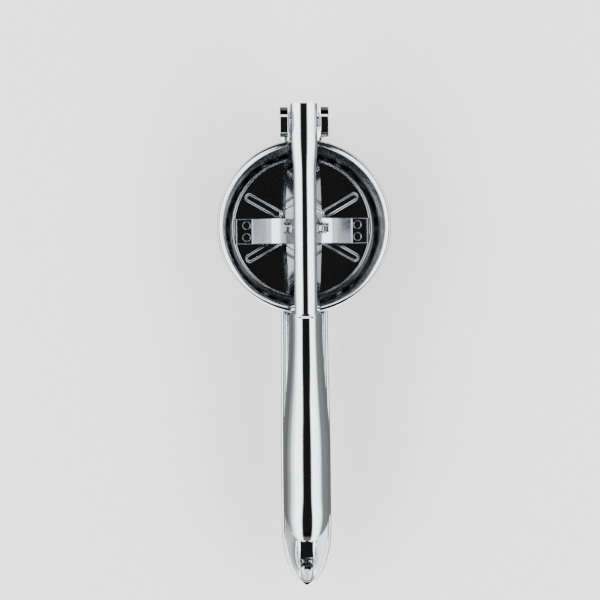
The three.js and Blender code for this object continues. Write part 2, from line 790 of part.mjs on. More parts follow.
function makePlungerDisc() {
  const bend = [discRadius - discBend, discBottom + discBend];
  const outline = [
    [0, discBottom],
    ...arcPoints(bend, discBend, -90, 0, 3),
    [discRadius, discBottom + discLip + discSheet],
    [discRadius - discSheet, discBottom + discLip + discSheet],
    ...arcPoints(bend, discBend - discSheet, 0, -90, 2),
    [0, discTop],
  ];
  const plate = turned(outline).translate([0, discY, 0]);
  const rib = new THREE.Shape();
  const half = ribWidth / 2;
  rib.moveTo(ribInner + half, -half);
  rib.lineTo(ribOuter - half, -half);
  rib.absarc(ribOuter - half, 0, half, -Math.PI / 2, Math.PI / 2, false);
  rib.lineTo(ribInner + half, half);
  rib.absarc(ribInner + half, 0, half, Math.PI / 2, 3 * Math.PI / 2, false);
  const settings = { depth: ribHeight + bond, bevelEnabled: false, curveSegments: 4 };
  const ribSolid = solid(new THREE.ExtrudeGeometry(rib, settings));
  const ribs = Array.from({ length: ribCount }, (_, i) =>
    ribSolid.rotate([0, 0, 30 + 360 * i / ribCount]).translate([0, discY, discTop - bond]));
  return cut(join(plate, ...ribs), ...strapRivetHoles(discBottom, discTop));
}

// The strap's upper face: foot, slope, knee, upright leg, crown, and the same mirrored.
function makePlungerStrap() {
  const knee = pinZ - strapKnee;
  const half = [
    [strapFootOuter, footBottom + strapSheet],
    [strapFootInner, footBottom + strapSheet],
    [strapLegHalf, knee],
    [strapLegHalf, pinZ + strapCrown],
  ];
  const path = [...half, ...half.map(([x, z]) => [-x, z]).reverse()];
  const band = plateAlongY(strip(path, -strapSheet), strapWidth, pinY);
  const pinHole = rodAlongX(plungerPinRadius + gap, -armReach, armReach, pinY, pinZ);
  return cut(band, pinHole, ...strapRivetHoles(footBottom, footBottom + strapSheet));
}

function makeStrapRivet({ x, y }) {
  const head = footBottom + strapSheet + gap;
  return join(
    rodAlongZ(strapRivetRadius, discBottom, head + bond, x, y, smallSegments),
    rodAlongZ(strapRivetHeadRadius, head, head + strapRivetHeadThickness, x, y, smallSegments),
  );
}

// ---------------------------------------------------------------- assembly

place('basket', makeBasket(), 'polished');
place('hinge_bracket', makeHingeBracket(), 'polished');
rearRivets.forEach((rivet) => place(rivet.name, makeWallRivet(rivet, 1), 'fastener'));
place('hinge_pin', makeHingePin(), 'fastener');
place('hinge_pin_cap', makeHingeCap(), 'fastener');
place('handle_bracket', makeFrontBracket(), 'polished');
frontRivets.forEach((rivet) => place(rivet.name, makeWallRivet(rivet, -1), 'fastener'));
place('lower_handle', makeLowerHandle(), 'polished');
place('tongue_rivet_front', makeTongueRivet(tongueRivetYs[0]), 'fastener');
place('tongue_rivet_rear', makeTongueRivet(tongueRivetYs[1]), 'fastener');

place('lever_arm', makeLeverArm(), 'polished');
place('upper_grip', makeUpperGrip(), 'polished');
place('grip_stud_front', makeGripRivet(gripRivetYs[0]), 'fastener');
place('grip_stud_rear', makeGripRivet(gripRivetYs[1]), 'fastener');
place('hinge_bush', makeHingeBush(), 'fastener');
place('hinge_washer_left', makeHingeWasher(-1), 'fastener');
place('hinge_washer_right', makeHingeWasher(1), 'fastener');
place('plunger_pin', makePlungerPin(), 'fastener');
place('plunger_pin_washer', makePinWasher(), 'fastener');
place('plunger_pin_clip', makePinClip(), 'fastener');

place('plunger_disc', makePlungerDisc(), 'disc');
place('plunger_strap', makePlungerStrap(), 'polished');
strapRivets.forEach((rivet, i) => place(`strap_rivet_${i + 1}`, makeStrapRivet(rivet), 'fastener'));
place('plunger_bush', makePlungerBush(), 'fastener');
place('plunger_spacer_left', makePlungerSpacer(-1), 'fastener');
place('plunger_spacer_right', makePlungerSpacer(1), 'fastener');

export default ricer;
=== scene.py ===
import json
from math import acos, atan2, cos, hypot, pi, radians, sin, sqrt

import bmesh
import bpy
import numpy as np
from mathutils import Matrix, Vector


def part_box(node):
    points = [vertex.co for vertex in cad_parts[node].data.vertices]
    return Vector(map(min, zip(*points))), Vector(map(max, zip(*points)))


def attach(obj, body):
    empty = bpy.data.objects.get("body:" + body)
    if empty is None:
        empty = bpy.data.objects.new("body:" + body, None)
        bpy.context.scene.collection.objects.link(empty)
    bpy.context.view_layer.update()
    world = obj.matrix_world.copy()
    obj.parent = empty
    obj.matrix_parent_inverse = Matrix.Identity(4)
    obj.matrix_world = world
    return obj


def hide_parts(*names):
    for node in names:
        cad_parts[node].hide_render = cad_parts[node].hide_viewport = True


bl_info = {
    "name": "Potato Ricer",
    "version": (1, 0, 0),
    "blender": (4, 5, 0),
    "location": "View3D > Sidebar > Ricer",
    "description": "A hand press of polished stainless steel: basket, handles and hinged plunger",
    "category": "Object",
}

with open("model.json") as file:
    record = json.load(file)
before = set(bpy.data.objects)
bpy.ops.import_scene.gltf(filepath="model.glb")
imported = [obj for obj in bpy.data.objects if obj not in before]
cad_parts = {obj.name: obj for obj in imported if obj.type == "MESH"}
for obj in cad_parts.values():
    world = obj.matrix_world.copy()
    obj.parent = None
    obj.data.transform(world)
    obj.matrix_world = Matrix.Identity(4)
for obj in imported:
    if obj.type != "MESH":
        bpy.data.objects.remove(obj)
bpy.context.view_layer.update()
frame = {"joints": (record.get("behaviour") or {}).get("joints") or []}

MM = 0.001
BORE_GAP = 0.1     # mm between a pin and whatever turns on it
BOX_GAP = 0.01     # mm kept inside the CAD box where a curve would touch it


# ------------------------------------------------------------------ measures from the frame

def node_box(node):
    """Lowest and highest corner of a node, in millimetres."""
    low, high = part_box(node)
    return np.array(low) / MM, np.array(high) / MM


BASKET = node_box("basket")
ARM = node_box("lever_arm")
GRIP = node_box("upper_grip")
LOWER = node_box("lower_handle")
DISC = node_box("plunger_disc")
STRAP = node_box("plunger_strap")
BRACKET = node_box("hinge_bracket")
TONGUE = node_box("handle_bracket")


def joint_place(name):
    """Y and Z of a joint's axis, in millimetres."""
    joint = next(j for j in frame["joints"] if j["name"] == name)
    return joint["pos_m"][1] / MM, joint["pos_m"][2] / MM


HINGE = joint_place("lever_hinge")
PIN = joint_place("plunger_swing")


# ------------------------------------------------------------------ properties

def linear(hex_colour):
    """An sRGB hex colour as the linear values that a shader takes."""
    parts = [int(hex_colour[i:i + 2], 16) / 255 for i in (0, 2, 4)]
    return tuple(c / 12.92 if c <= 0.04045 else ((c + 0.055) / 1.055) ** 2.4 for c in parts)


def length(name, description, millimetres):
    """A length property whose default is given in millimetres."""
    return bpy.props.FloatProperty(name=name, description=description, default=millimetres * MM,
                                   min=0.0, subtype="DISTANCE", unit="LENGTH", precision=5)


def colour(name, description, hex_colour):
    """A colour property whose default is given as sRGB hex."""
    return bpy.props.FloatVectorProperty(name=name, description=description, size=3, min=0, max=1,
                                         subtype="COLOR", default=linear(hex_colour))


class RicerSizes(bpy.types.PropertyGroup):
    """Sheet gauges, radii and clearances of the ricer."""

    basket_sheet: length("Basket sheet", "Thickness of the basket's wall and floor", 1.0)
    basket_floor: length("Basket floor radius", "Inside radius at the floor", 41.8)
    basket_mouth: length("Basket mouth radius", "Inside radius at the rim", 43.5)
    basket_corner: length("Basket corner", "Inside corner between floor and wall", 3.0)
    rim_bead: length("Rim bead", "Diameter of the rolled rim", 3.6)
    hole_radius: length("Hole radius", "Radius of one floor hole", 1.5)
    hole_pitch: length("Hole pitch", "Distance between neighbouring floor holes", 7.2)
    hole_field: length("Hole field", "Radius that the hole centres stay inside", 37.0)
    arm_sheet: length("Arm sheet", "Thickness of the lever arm", 1.5)
    arm_half: length("Arm half-width", "At the shoulders, over the basket", 6.0)
    arm_half_hinge: length("Arm half-width at hinge", "At the shoulders, by the hinge", 7.0)
    arm_crown: length("Arm crown", "Rise of the arm's crown above its shoulders", 3.2)
    grip_sheet: length("Grip sheet", "Thickness of the upper grip", 1.0)
    lower_sheet: length("Lower handle sheet", "Thickness of the lower handle", 1.2)
    hem: length("Hem radius", "Radius of the rolled edge on the lower handle", 1.15)
    strap_sheet: length("Strap sheet", "Thickness of the plunger's strap", 1.6)
    disc_sheet: length("Disc sheet", "Thickness of the pressing disc", 1.2)
    rib_width: length("Rib width", "Width of a pressed rib on the disc", 4.8)
    rib_height: length("Rib height", "Height of a pressed rib", 0.9)
    pin_radius: length("Plunger pin radius", "Shank of the plunger pin", 2.5)
    hinge_radius: length("Hinge pin radius", "Shank of the hinge pin", 2.75)


class RicerColours(bpy.types.PropertyGroup):
    """Colours of the steels and of the stage."""

    polished: colour("Polished stainless", "Buffed outer skins", "D5D8DB")
    drawn: colour("Drawn stainless", "Deep-drawn basket", "CFD2D5")
    pressed: colour("Pressed stainless", "Disc and strap", "C9CCCF")
    turned: colour("Turned steel", "Pins, rivets and washers", "BDC0C3")
    floor: colour("Floor", "Pale stage floor", "F4F4F2")


def sizes():
    """The sizes of the scene in millimetres, by name."""
    group = bpy.context.scene.ricer_sizes
    return {key: getattr(group, key) / MM for key in RicerSizes.__annotations__}


# ------------------------------------------------------------------ shapes in numpy

def smooth(value, low, high):
    """Rises from 0 at low to 1 at high with no kink at either end (6t^5 - 15t^4 + 10t^3)."""
    t = np.clip((np.asarray(value, float) - low) / (high - low), 0, 1)
    return t ** 3 * (t * (6 * t - 15) + 10)


def arc(centre, radius, start, end, steps):
    """Points on a circle from one angle to another, in degrees."""
    a = np.radians(np.linspace(start, end, steps + 1))
    return np.stack([centre[0] + radius * np.cos(a), centre[1] + radius * np.sin(a)], 1)


def rounded(corners, radius, steps=8, closed=False):
    """A path whose inner corners are arcs of the given radius or radii, tangent to both sides."""
    corners = np.asarray(corners, float)
    count = len(corners)
    radii = np.broadcast_to(radius, count)
    pieces = []
    for i in range(count):
        if not closed and i in (0, count - 1):
            pieces.append(corners[i:i + 1])
            continue
        before, here, after = corners[i - 1], corners[i], corners[(i + 1) % count]
        a = (before - here) / np.linalg.norm(before - here)
        b = (after - here) / np.linalg.norm(after - here)
        half = acos(float(np.clip(a @ b, -1, 1))) / 2
        reach = min(radii[i] / np.tan(half), 0.49 * np.linalg.norm(before - here),
                    0.49 * np.linalg.norm(after - here))
        bend = reach * np.tan(half)
        middle = here + (a + b) / np.linalg.norm(a + b) * bend / sin(half)
        start = here + a * reach - middle
        turn = pi - 2 * half
        side = np.sign(a[0] * b[1] - a[1] * b[0])
        angles = np.linspace(0, turn, steps + 1) * -side
        c, s = np.cos(angles), np.sin(angles)
        pieces.append(middle + np.stack([start[0] * c - start[1] * s,
                                         start[0] * s + start[1] * c], 1))
    return np.concatenate(pieces)


def resampled(path, most):
    """The same path with points added so that no step is longer than the given length."""
    steps = np.linalg.norm(np.diff(path, axis=0), axis=1)
    pieces = [start + (stop - start) * np.linspace(0, 1, int(np.ceil(step / most)) + 1)[:-1, None]
              for start, stop, step in zip(path[:-1], path[1:], steps)]
    return np.concatenate(pieces + [path[-1:]])


def normals_of(path):
    """Unit normals on the left of an open path."""
    step = np.diff(path, axis=0)
    step /= np.linalg.norm(step, axis=1, keepdims=True)
    tangent = np.concatenate([step[:1], step[1:] + step[:-1], step[-1:]])
    tangent /= np.linalg.norm(tangent, axis=1, keepdims=True)
    return np.stack([-tangent[:, 1], tangent[:, 0]], 1)


def walled(path, thickness, steps=6):
    """A closed outline: the path, a round end, the path set over by the wall, a round end."""
    other = path + normals_of(path) * thickness
    swing = np.radians(np.linspace(0, 180, steps + 1))[1:-1]

    def end(start, stop):
        """A half circle from start round to stop."""
        across = (start - stop) / 2
        along = np.array([-across[1], across[0]])
        return (start + stop) / 2 + np.outer(np.cos(swing), across) + np.outer(np.sin(swing), along)

    return np.concatenate([path, end(path[-1], other[-1]), other[::-1], end(other[0], path[0])])


def write_mesh(name, points, faces, material, body, replaces, sharp=32):
    """A mesh object from millimetre points and faces, merged, turned outwards and made to ride."""
    mesh = bpy.data.meshes.new(name)
    mesh.from_pydata((np.asarray(points, float) * MM).tolist(), [], faces)
    work = bmesh.new()
    work.from_mesh(mesh)
    bmesh.ops.remove_doubles(work, verts=work.verts, dist=1e-7)
    bmesh.ops.dissolve_degenerate(work, edges=work.edges, dist=1e-8)
    if work.calc_volume(signed=True) < 0:
        bmesh.ops.reverse_faces(work, faces=work.faces)
    work.to_mesh(mesh)
    work.free()
    mesh.shade_smooth()
    mesh.set_sharp_from_angle(angle=radians(sharp))
    mesh.materials.append(material)
    piece = bpy.data.objects.new(name, mesh)
    bpy.context.scene.collection.objects.link(piece)
    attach(piece, body)
    if replaces:
        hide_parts(*replaces)
    return piece


def grid_faces(rows, columns, wrap_rows=False, wrap_columns=False, first=0):
    """Quads between neighbouring rows and columns of a grid of points."""
    r = np.arange(rows if wrap_rows else rows - 1)
    c = np.arange(columns if wrap_columns else columns - 1)
    r, c = np.meshgrid(r, c, indexing="ij")
    below = (r + 1) % rows
    beside = (c + 1) % columns
    quads = np.stack([r * columns + c, below * columns + c,
                      below * columns + beside, r * columns + beside], -1)
    return (quads.reshape(-1, 4) + first).tolist()


def add_bevel(piece, width, segments=2, angle=30):
    """Rounds the edges that are sharper than the angle."""
    bevel = piece.modifiers.new("edge_round", "BEVEL")
    bevel.width = width * MM
    bevel.segments = segments
    bevel.limit_method = "ANGLE"
    bevel.angle_limit = radians(angle)
    bevel.harden_normals = True


def turned_piece(name, profile, material, body, replaces=(), axis="Z", place=(0, 0, 0),
                 segments=96, closed=False):
    """A profile of radius and height carried round an axis: x = r cos a, y = r sin a, z = h."""
    profile = np.asarray(profile, float)
    a = np.linspace(0, 2 * pi, segments, endpoint=False)
    radius, height = profile[:, 0:1], profile[:, 1:2]
    x = radius * np.cos(a)
    y = radius * np.sin(a)
    z = height + 0 * a
    points = {"Z": np.stack([x, y, z], -1), "X": np.stack([z, x, y], -1),
              "Y": np.stack([y, z, x], -1)}[axis]
    points = points.reshape(-1, 3) + np.asarray(place, float)
    faces = grid_faces(len(profile), segments, wrap_rows=closed, wrap_columns=True)
    return write_mesh(name, points, faces, material, body, replaces)


def prism_parts(outline, low, high, axis):
    """An outline carried straight between two planes, as points and faces with end caps."""
    outline = np.asarray(outline, float)
    count = len(outline)
    ends = []
    for value in (low, high):
        level = np.full(count, value)
        u, v = outline[:, 0], outline[:, 1]
        ends.append({"X": np.stack([level, u, v], 1), "Y": np.stack([u, level, v], 1),
                     "Z": np.stack([u, v, level], 1)}[axis])
    faces = grid_faces(2, count, wrap_columns=True)
    first = list(range(count))
    faces += [first, [i + count for i in reversed(first)]]
    return np.concatenate(ends), faces


def merged_parts(parts):
    """Several sets of points and faces as one."""
    points, faces, start = [], [], 0
    for some, these in parts:
        points.append(some)
        faces += [[i + start for i in face] for face in these]
        start += len(some)
    return np.concatenate(points), faces


# ------------------------------------------------------------------ shaders

def add_node(tree, kind, inputs=None, **settings):
    """Adds one node; inputs maps a socket's name or number to what it takes.

    That is a plain value, an output to link, or a node whose first output is linked.
    """
    node = tree.nodes.new(kind)
    for key, value in settings.items():
        setattr(node, key, value)
    for key, value in (inputs or {}).items():
        if isinstance(value, bpy.types.Node):
            value = value.outputs[0]
        if isinstance(value, bpy.types.NodeSocket):
            tree.links.new(value, node.inputs[key])
        else:
            node.inputs[key].default_value = value
    return node


def per_mm(millimetres):
    """Texture scale, on object coordinates in metres, that repeats once in the given size."""
    return 1.0 / (millimetres * MM)


def painted_inner_shade(tree, place, height, edge, tone):
    """Painted shade for the cup: 1 on the outside of the cup, on its floor and above edge; tone on
    the inner skin.

    A point is on the inner skin when it is nearer the Z axis than the middle of the wall.
    """
    s = sizes()
    flat = add_node(tree, "ShaderNodeVectorMath", {0: place, 1: (1, 1, 0)}, operation="MULTIPLY")
    away = add_node(tree, "ShaderNodeVectorMath", {0: flat}, operation="LENGTH")
    half = s["basket_sheet"] / 2
    middle = add_node(tree, "ShaderNodeMapRange", {
        "Value": height, "From Min": s["basket_sheet"] * MM, "From Max": BASKET[1][2] * MM,
        "To Min": (s["basket_floor"] + half) * MM, "To Max": (s["basket_mouth"] + half) * MM},
        clamp=False)
    past = add_node(tree, "ShaderNodeMath", {0: away.outputs["Value"], 1: middle},
                    operation="SUBTRACT")
    skin = add_node(tree, "ShaderNodeMapRange", {
        "Value": past, "From Min": -0.2 * MM, "From Max": 0.2 * MM, "To Min": tone,
        "To Max": 1.0})
    above = add_node(tree, "ShaderNodeMapRange", {
        "Value": height, "From Min": (edge - 1.5) * MM, "From Max": edge * MM,
        "To Min": 0.0, "To Max": 1.0}, interpolation_type="SMOOTHSTEP")
    below = add_node(tree, "ShaderNodeMapRange", {
        "Value": height, "From Min": s["basket_sheet"] * MM, "From Max": 2.5 * MM,
        "To Min": 1.0, "To Max": 0.0})
    ends = add_node(tree, "ShaderNodeMath", {0: above, 1: below}, operation="MAXIMUM")
    return add_node(tree, "ShaderNodeMath", {0: skin, 1: ends}, operation="MAXIMUM")


def steel(name, tint, roughness, spread, streak_mm, streak_stretch, ripple_mm, ripple_height,
          brushing_and_inner_shade=None):
    """Stainless steel: a metal whose polish varies a little, with fine streaks and slow ripples.

    streak_mm is the spacing of the finishing marks, streak_stretch how much longer than wide
    they are along X, Y and Z, ripple_mm and ripple_height the size of the sheet's slow waves.
    The last argument is (height, roughness, tone): below that height the metal keeps its coarser
    brushing, and the inner skin of the cup is darkened by the given tone, as painted shade.
    """
    material = bpy.data.materials.new(name)
    material.use_nodes = True
    tree = material.node_tree
    tree.nodes.clear()
    place = add_node(tree, "ShaderNodeTexCoord").outputs["Object"]
    stretched = add_node(tree, "ShaderNodeMapping", {
        "Vector": place, "Scale": tuple(1 / s for s in streak_stretch)})
    streaks = add_node(tree, "ShaderNodeTexNoise", {
        "Vector": stretched, "Scale": per_mm(streak_mm), "Detail": 3.0})
    # wiped and handled: patches a few centimetres wide where the polish is a touch duller
    patches = add_node(tree, "ShaderNodeTexNoise", {
        "Vector": place, "Scale": per_mm(30), "Detail": 4.0})
    both = add_node(tree, "ShaderNodeMath", {0: streaks, 1: patches}, operation="MULTIPLY")
    rough = add_node(tree, "ShaderNodeMapRange", {
        "Value": both, "From Min": 0.12, "From Max": 0.42,
        "To Min": roughness, "To Max": roughness + spread})
    if brushing_and_inner_shade:
        edge, coarse, inner_shade = brushing_and_inner_shade
        height = add_node(tree, "ShaderNodeSeparateXYZ", {0: place}).outputs["Z"]
        added = add_node(tree, "ShaderNodeMapRange", {
            "Value": height, "From Min": (edge - 1) * MM, "From Max": edge * MM,
            "To Min": coarse - roughness, "To Max": 0.0},
            interpolation_type="SMOOTHSTEP")
        rough = add_node(tree, "ShaderNodeMath", {0: rough, 1: added})
    # the same patches are darker by up to four per cent
    tone = add_node(tree, "ShaderNodeMapRange", {
        "Value": patches, "From Min": 0.3, "From Max": 0.7, "To Min": 0.96, "To Max": 1.0})
    base = add_node(tree, "ShaderNodeVectorMath", {
        0: tuple(tint), 1: tone}, operation="MULTIPLY")
    if brushing_and_inner_shade:
        # painted shade: the inside of the cup is darkened against the outside
        base = add_node(tree, "ShaderNodeVectorMath", {
            0: base, 1: painted_inner_shade(tree, place, height, edge, inner_shade)},
            operation="MULTIPLY")
    waves = add_node(tree, "ShaderNodeTexNoise", {
        "Vector": place, "Scale": per_mm(ripple_mm), "Detail": 1.0})
    slow = add_node(tree, "ShaderNodeBump", {
        "Height": waves, "Strength": 1.0, "Distance": ripple_height * MM})
    # the marks of the finish are about two thousandths of a millimetre deep
    fine = add_node(tree, "ShaderNodeBump", {
        "Height": streaks, "Strength": 0.25, "Distance": 0.002 * MM,
        "Normal": slow})
    shader = add_node(tree, "ShaderNodeBsdfPrincipled", {
        "Base Color": base, "Metallic": 1.0, "Roughness": rough, "Normal": fine})
    add_node(tree, "ShaderNodeOutputMaterial", {"Surface": shader})
    return material


def make_materials():
    """The four steels of the ricer, each named for how it was finished."""
    tints = bpy.context.scene.ricer_colours
    return {
        # buffed to a mirror along the handles: sharp reflections with faint lengthwise marks,
        # bent a little by the slow waves that the wheel leaves in thin sheet
        "polished": steel("buffed_stainless", tints.polished, 0.035, 0.05, 0.5,
                          (1, 40, 1), 24, 0.05),
        # deep drawn and finished with a brush while it spins: soft reflections on the wall, a
        # bright rim, and painted shade that darkens the inner wall below the rim
        "drawn": steel("drawn_stainless", tints.drawn, 0.09, 0.06, 0.4, (30, 30, 1), 18, 0.012,
                       brushing_and_inner_shade=(BASKET[1][2] - 2.2, 0.16, 0.5)),
        # pressed from bright sheet and tumbled: clear reflections with no direction to them
        "pressed": steel("pressed_stainless", tints.pressed, 0.04, 0.05, 0.6,
                         (1, 1, 1), 16, 0.012),
        # turned bar, bright but not buffed: small, slightly soft highlights
        "turned": steel("turned_stainless", tints.turned, 0.12, 0.10, 0.3, (8, 1, 1), 8, 0.006),
    }


def finish(kind):
    """The material of that finish, made once."""
    if kind not in finish.made:
        finish.made.update(make_materials())
    return finish.made[kind]


finish.made = {}


# ------------------------------------------------------------------ basket

def wall_radius(z, s):
    """Inside radius of the basket's wall at height z: a straight taper."""
    depth = BASKET[1][2] - s["basket_sheet"]
    share = (z - s["basket_sheet"]) / depth
    return s["basket_floor"] + (s["basket_mouth"] - s["basket_floor"]) * share


def leaning(path, centre, lean):
    """Moves an arc's upper half outwards by lean times its height squared over its radius."""
    radius = np.hypot(*(path - centre).T)
    rise = np.maximum(0, path[:, 1] - centre[1])
    return path + np.stack([lean * rise ** 2 / radius, 0 * rise], 1)


def basket_profile(s):
    """Floor, corner, wall and a sheet edge rolled outwards through 240 degrees, in one sheet.

    The roll leans outwards: its crown stands over the outer half, and the inner half is broad.
    """
    sheet, corner, bead = s["basket_sheet"], s["basket_corner"], s["rim_bead"] / 2
    lean, roll_end = 0.45, -60
    roll = (BASKET[1][0] - bead, BASKET[1][2] - bead)
    bend = (s["basket_floor"] - corner, sheet + corner)
    rings = np.linspace(0, bend[0], 8)[:-1]
    inside = [np.stack([rings, 0 * rings + sheet], 1), arc(bend, corner, -90, 0, 12),
              leaning(arc(roll, bead, 180, roll_end, 56), roll, lean)]
    edge_at = (roll[0] + (bead - sheet / 2) * cos(radians(roll_end)),
               roll[1] + (bead - sheet / 2) * sin(radians(roll_end)))
    edge = arc(edge_at, sheet / 2, roll_end, roll_end - 180, 8)[1:-1]
    outside = [leaning(arc(roll, bead - sheet, roll_end, 176, 40), roll, lean),
               arc(bend, corner + sheet, 0, -90, 12), np.stack([rings[::-1], 0 * rings], 1)]
    return np.concatenate(inside + [edge] + outside)


def hole_centres(s):
    """Centres of the floor holes on a triangular lattice, the middle one left out."""
    reach = int(s["hole_field"] / s["hole_pitch"]) + 2
    row, column = np.meshgrid(np.arange(-reach, reach + 1), np.arange(-2 * reach, 2 * reach + 1))
    x = s["hole_pitch"] * (column + row / 2).ravel()
    y = s["hole_pitch"] * row.ravel() * sqrt(3) / 2
    away = np.hypot(x, y)
    keep = (away > s["hole_pitch"] / 2) & (away < s["hole_field"])
    return np.stack([x[keep], y[keep]], 1)


def punch(piece, centres, radius, sides=24):
    """Cuts round holes through the floor with one many-part cutter."""
    ring = arc((0, 0), radius, 0, 360, sides)[:-1]
    parts = [prism_parts(ring + centre, -2, 3, "Z") for centre in centres]
    points, faces = merged_parts(parts)
    mesh = bpy.data.meshes.new("punch")
    mesh.from_pydata((points * MM).tolist(), [], faces)
    work = bmesh.new()
    work.from_mesh(mesh)
    bmesh.ops.recalc_face_normals(work, faces=work.faces)
    work.to_mesh(mesh)
    work.free()
    cutter = bpy.data.objects.new("punch", mesh)
    bpy.context.scene.collection.objects.link(cutter)
    cut = piece.modifiers.new("holes", "BOOLEAN")
    cut.operation = "DIFFERENCE"
    cut.solver = "EXACT"
    cut.object = cutter
    bpy.context.view_layer.update()
    graph = bpy.context.evaluated_depsgraph_get()
    result = bpy.data.meshes.new_from_object(piece.evaluated_get(graph))
    piece.modifiers.remove(cut)
    old = piece.data
    piece.data = result
    bpy.data.meshes.remove(old)
    bpy.data.objects.remove(cutter)
    bpy.data.meshes.remove(mesh)
    result.set_sharp_from_angle(angle=radians(32))


class RICER_OT_basket(bpy.types.Operator):
    """Make the perforated basket with its rolled rim"""

    bl_idname = "ricer.basket"
    bl_label = "Basket"

    def execute(self, context):
        s = sizes()
        piece = turned_piece("basket_shell", basket_profile(s), finish("drawn"), "basket_frame",
                             ["basket"], segments=192)
        punch(piece, hole_centres(s), s["hole_radius"])
        return {"FINISHED"}


# ------------------------------------------------------------------ small turned pieces

def rod_profile(*steps, chamfer=0.25):
    """Closed by the axis: each step is (radius, from, to), with a small round at each corner."""
    corners = [(0.0, steps[0][1])]
    for radius, start, stop in steps:
        corners += [(radius, start), (radius, stop)]
    corners.append((0.0, steps[-1][2]))
    return rounded(corners, chamfer, steps=4)


def ring_profile(inner, outer, start, stop, chamfer=0.15):
    """A washer or bush: a rectangle of radius and height with rounded corners."""
    corners = [(inner, start), (outer, start), (outer, stop), (inner, stop)]
    return rounded(corners, chamfer, steps=3, closed=True)


def dome_profile(radius, base, top, shank, depth, steps=10):
    """A rivet: a domed head from base to top, part of a sphere, over a plain shank."""
    rise = abs(top - base) * 0.75
    edge = base + (top - base) * 0.25
    angle = np.radians(np.linspace(90, 0, steps + 1))
    head = np.stack([radius * np.cos(angle), edge + np.sign(top - base) * rise * np.sin(angle)], 1)
    foot = np.array([[radius, base], [shank, base], [shank, base - np.sign(top - base) * depth],
                     [0, base - np.sign(top - base) * depth]])
    return np.concatenate([head, foot])


class RICER_OT_pins(bpy.types.Operator):
    """Make the hinge pin, the plunger pin and everything that sits on them"""

    bl_idname = "ricer.pins"
    bl_label = "Pins, bushes and washers"

    def on_axis(self, name, profile, body, place, closed=False):
        """A turned piece whose axis runs along X through a joint."""
        turned_piece(name + "_turned", profile, finish("turned"), body, [name],
                     axis="X", place=(0, *place), segments=64, closed=closed)

    def rings(self, names, bore, body, place, chamfer=0.15):
        """Washers and bushes, each as wide and as long as its node."""
        for name in names:
            low, high = node_box(name)
            profile = ring_profile(bore, (high[2] - low[2]) / 2, low[0], high[0], chamfer)
            self.on_axis(name, profile, body, place, closed=True)

    def execute(self, context):
        s = sizes()
        hinge = node_box("hinge_pin")
        head = (hinge[1][2] - hinge[0][2]) / 2
        cap = node_box("hinge_pin_cap")
        left, right = hinge[0][0], hinge[1][0]
        shoulder = -cap[0][0]
        pin = rod_profile((head, left, shoulder), (s["hinge_radius"], shoulder, right), chamfer=0.5)
        self.on_axis("hinge_pin", pin, "basket_frame", HINGE)
        bore = s["hinge_radius"] + BORE_GAP
        ring = ring_profile(bore, head, cap[0][0], cap[1][0], 0.4)
        self.on_axis("hinge_pin_cap", ring, "basket_frame", HINGE, closed=True)
        self.rings(("hinge_washer_left", "hinge_washer_right", "hinge_bush"), bore, "lever", HINGE)
        low, high = node_box("plunger_pin")
        clip = node_box("plunger_pin_clip")
        head = (high[2] - low[2]) / 2
        shank = s["pin_radius"]
        neck = shank * 0.72
        head_end, groove = low[0] + 1.1, (clip[0][0] - 0.2, clip[1][0] + 0.2)
        steps = [(head, low[0], head_end), (shank, head_end, groove[0]), (neck, *groove),
                 (shank, groove[1], high[0])]
        self.on_axis("plunger_pin", rod_profile(*steps, chamfer=0.3), "lever", PIN)
        bore = shank + BORE_GAP
        self.rings(("plunger_pin_washer",), bore, "lever", PIN)
        self.rings(("plunger_bush", "plunger_spacer_left", "plunger_spacer_right"), bore,
                   "plunger", PIN, 0.08)
        self.make_clip(clip, neck)
        return {"FINISHED"}

    def make_clip(self, clip, neck):
        """A C-shaped ring, open downwards: an arc band carried across its thickness."""
        outer = (clip[1][1] - clip[0][1]) / 2
        first, last = -62, 242
        outline = np.concatenate([arc(PIN, outer, first, last, 60),
                                  arc(PIN, neck + BORE_GAP, last, first, 48)])
        points, faces = prism_parts(outline, clip[0][0], clip[1][0], "X")
        piece = write_mesh("plunger_pin_clip_spring", points, faces, finish("turned"), "lever",
                           ["plunger_pin_clip"])
        add_bevel(piece, 0.12)


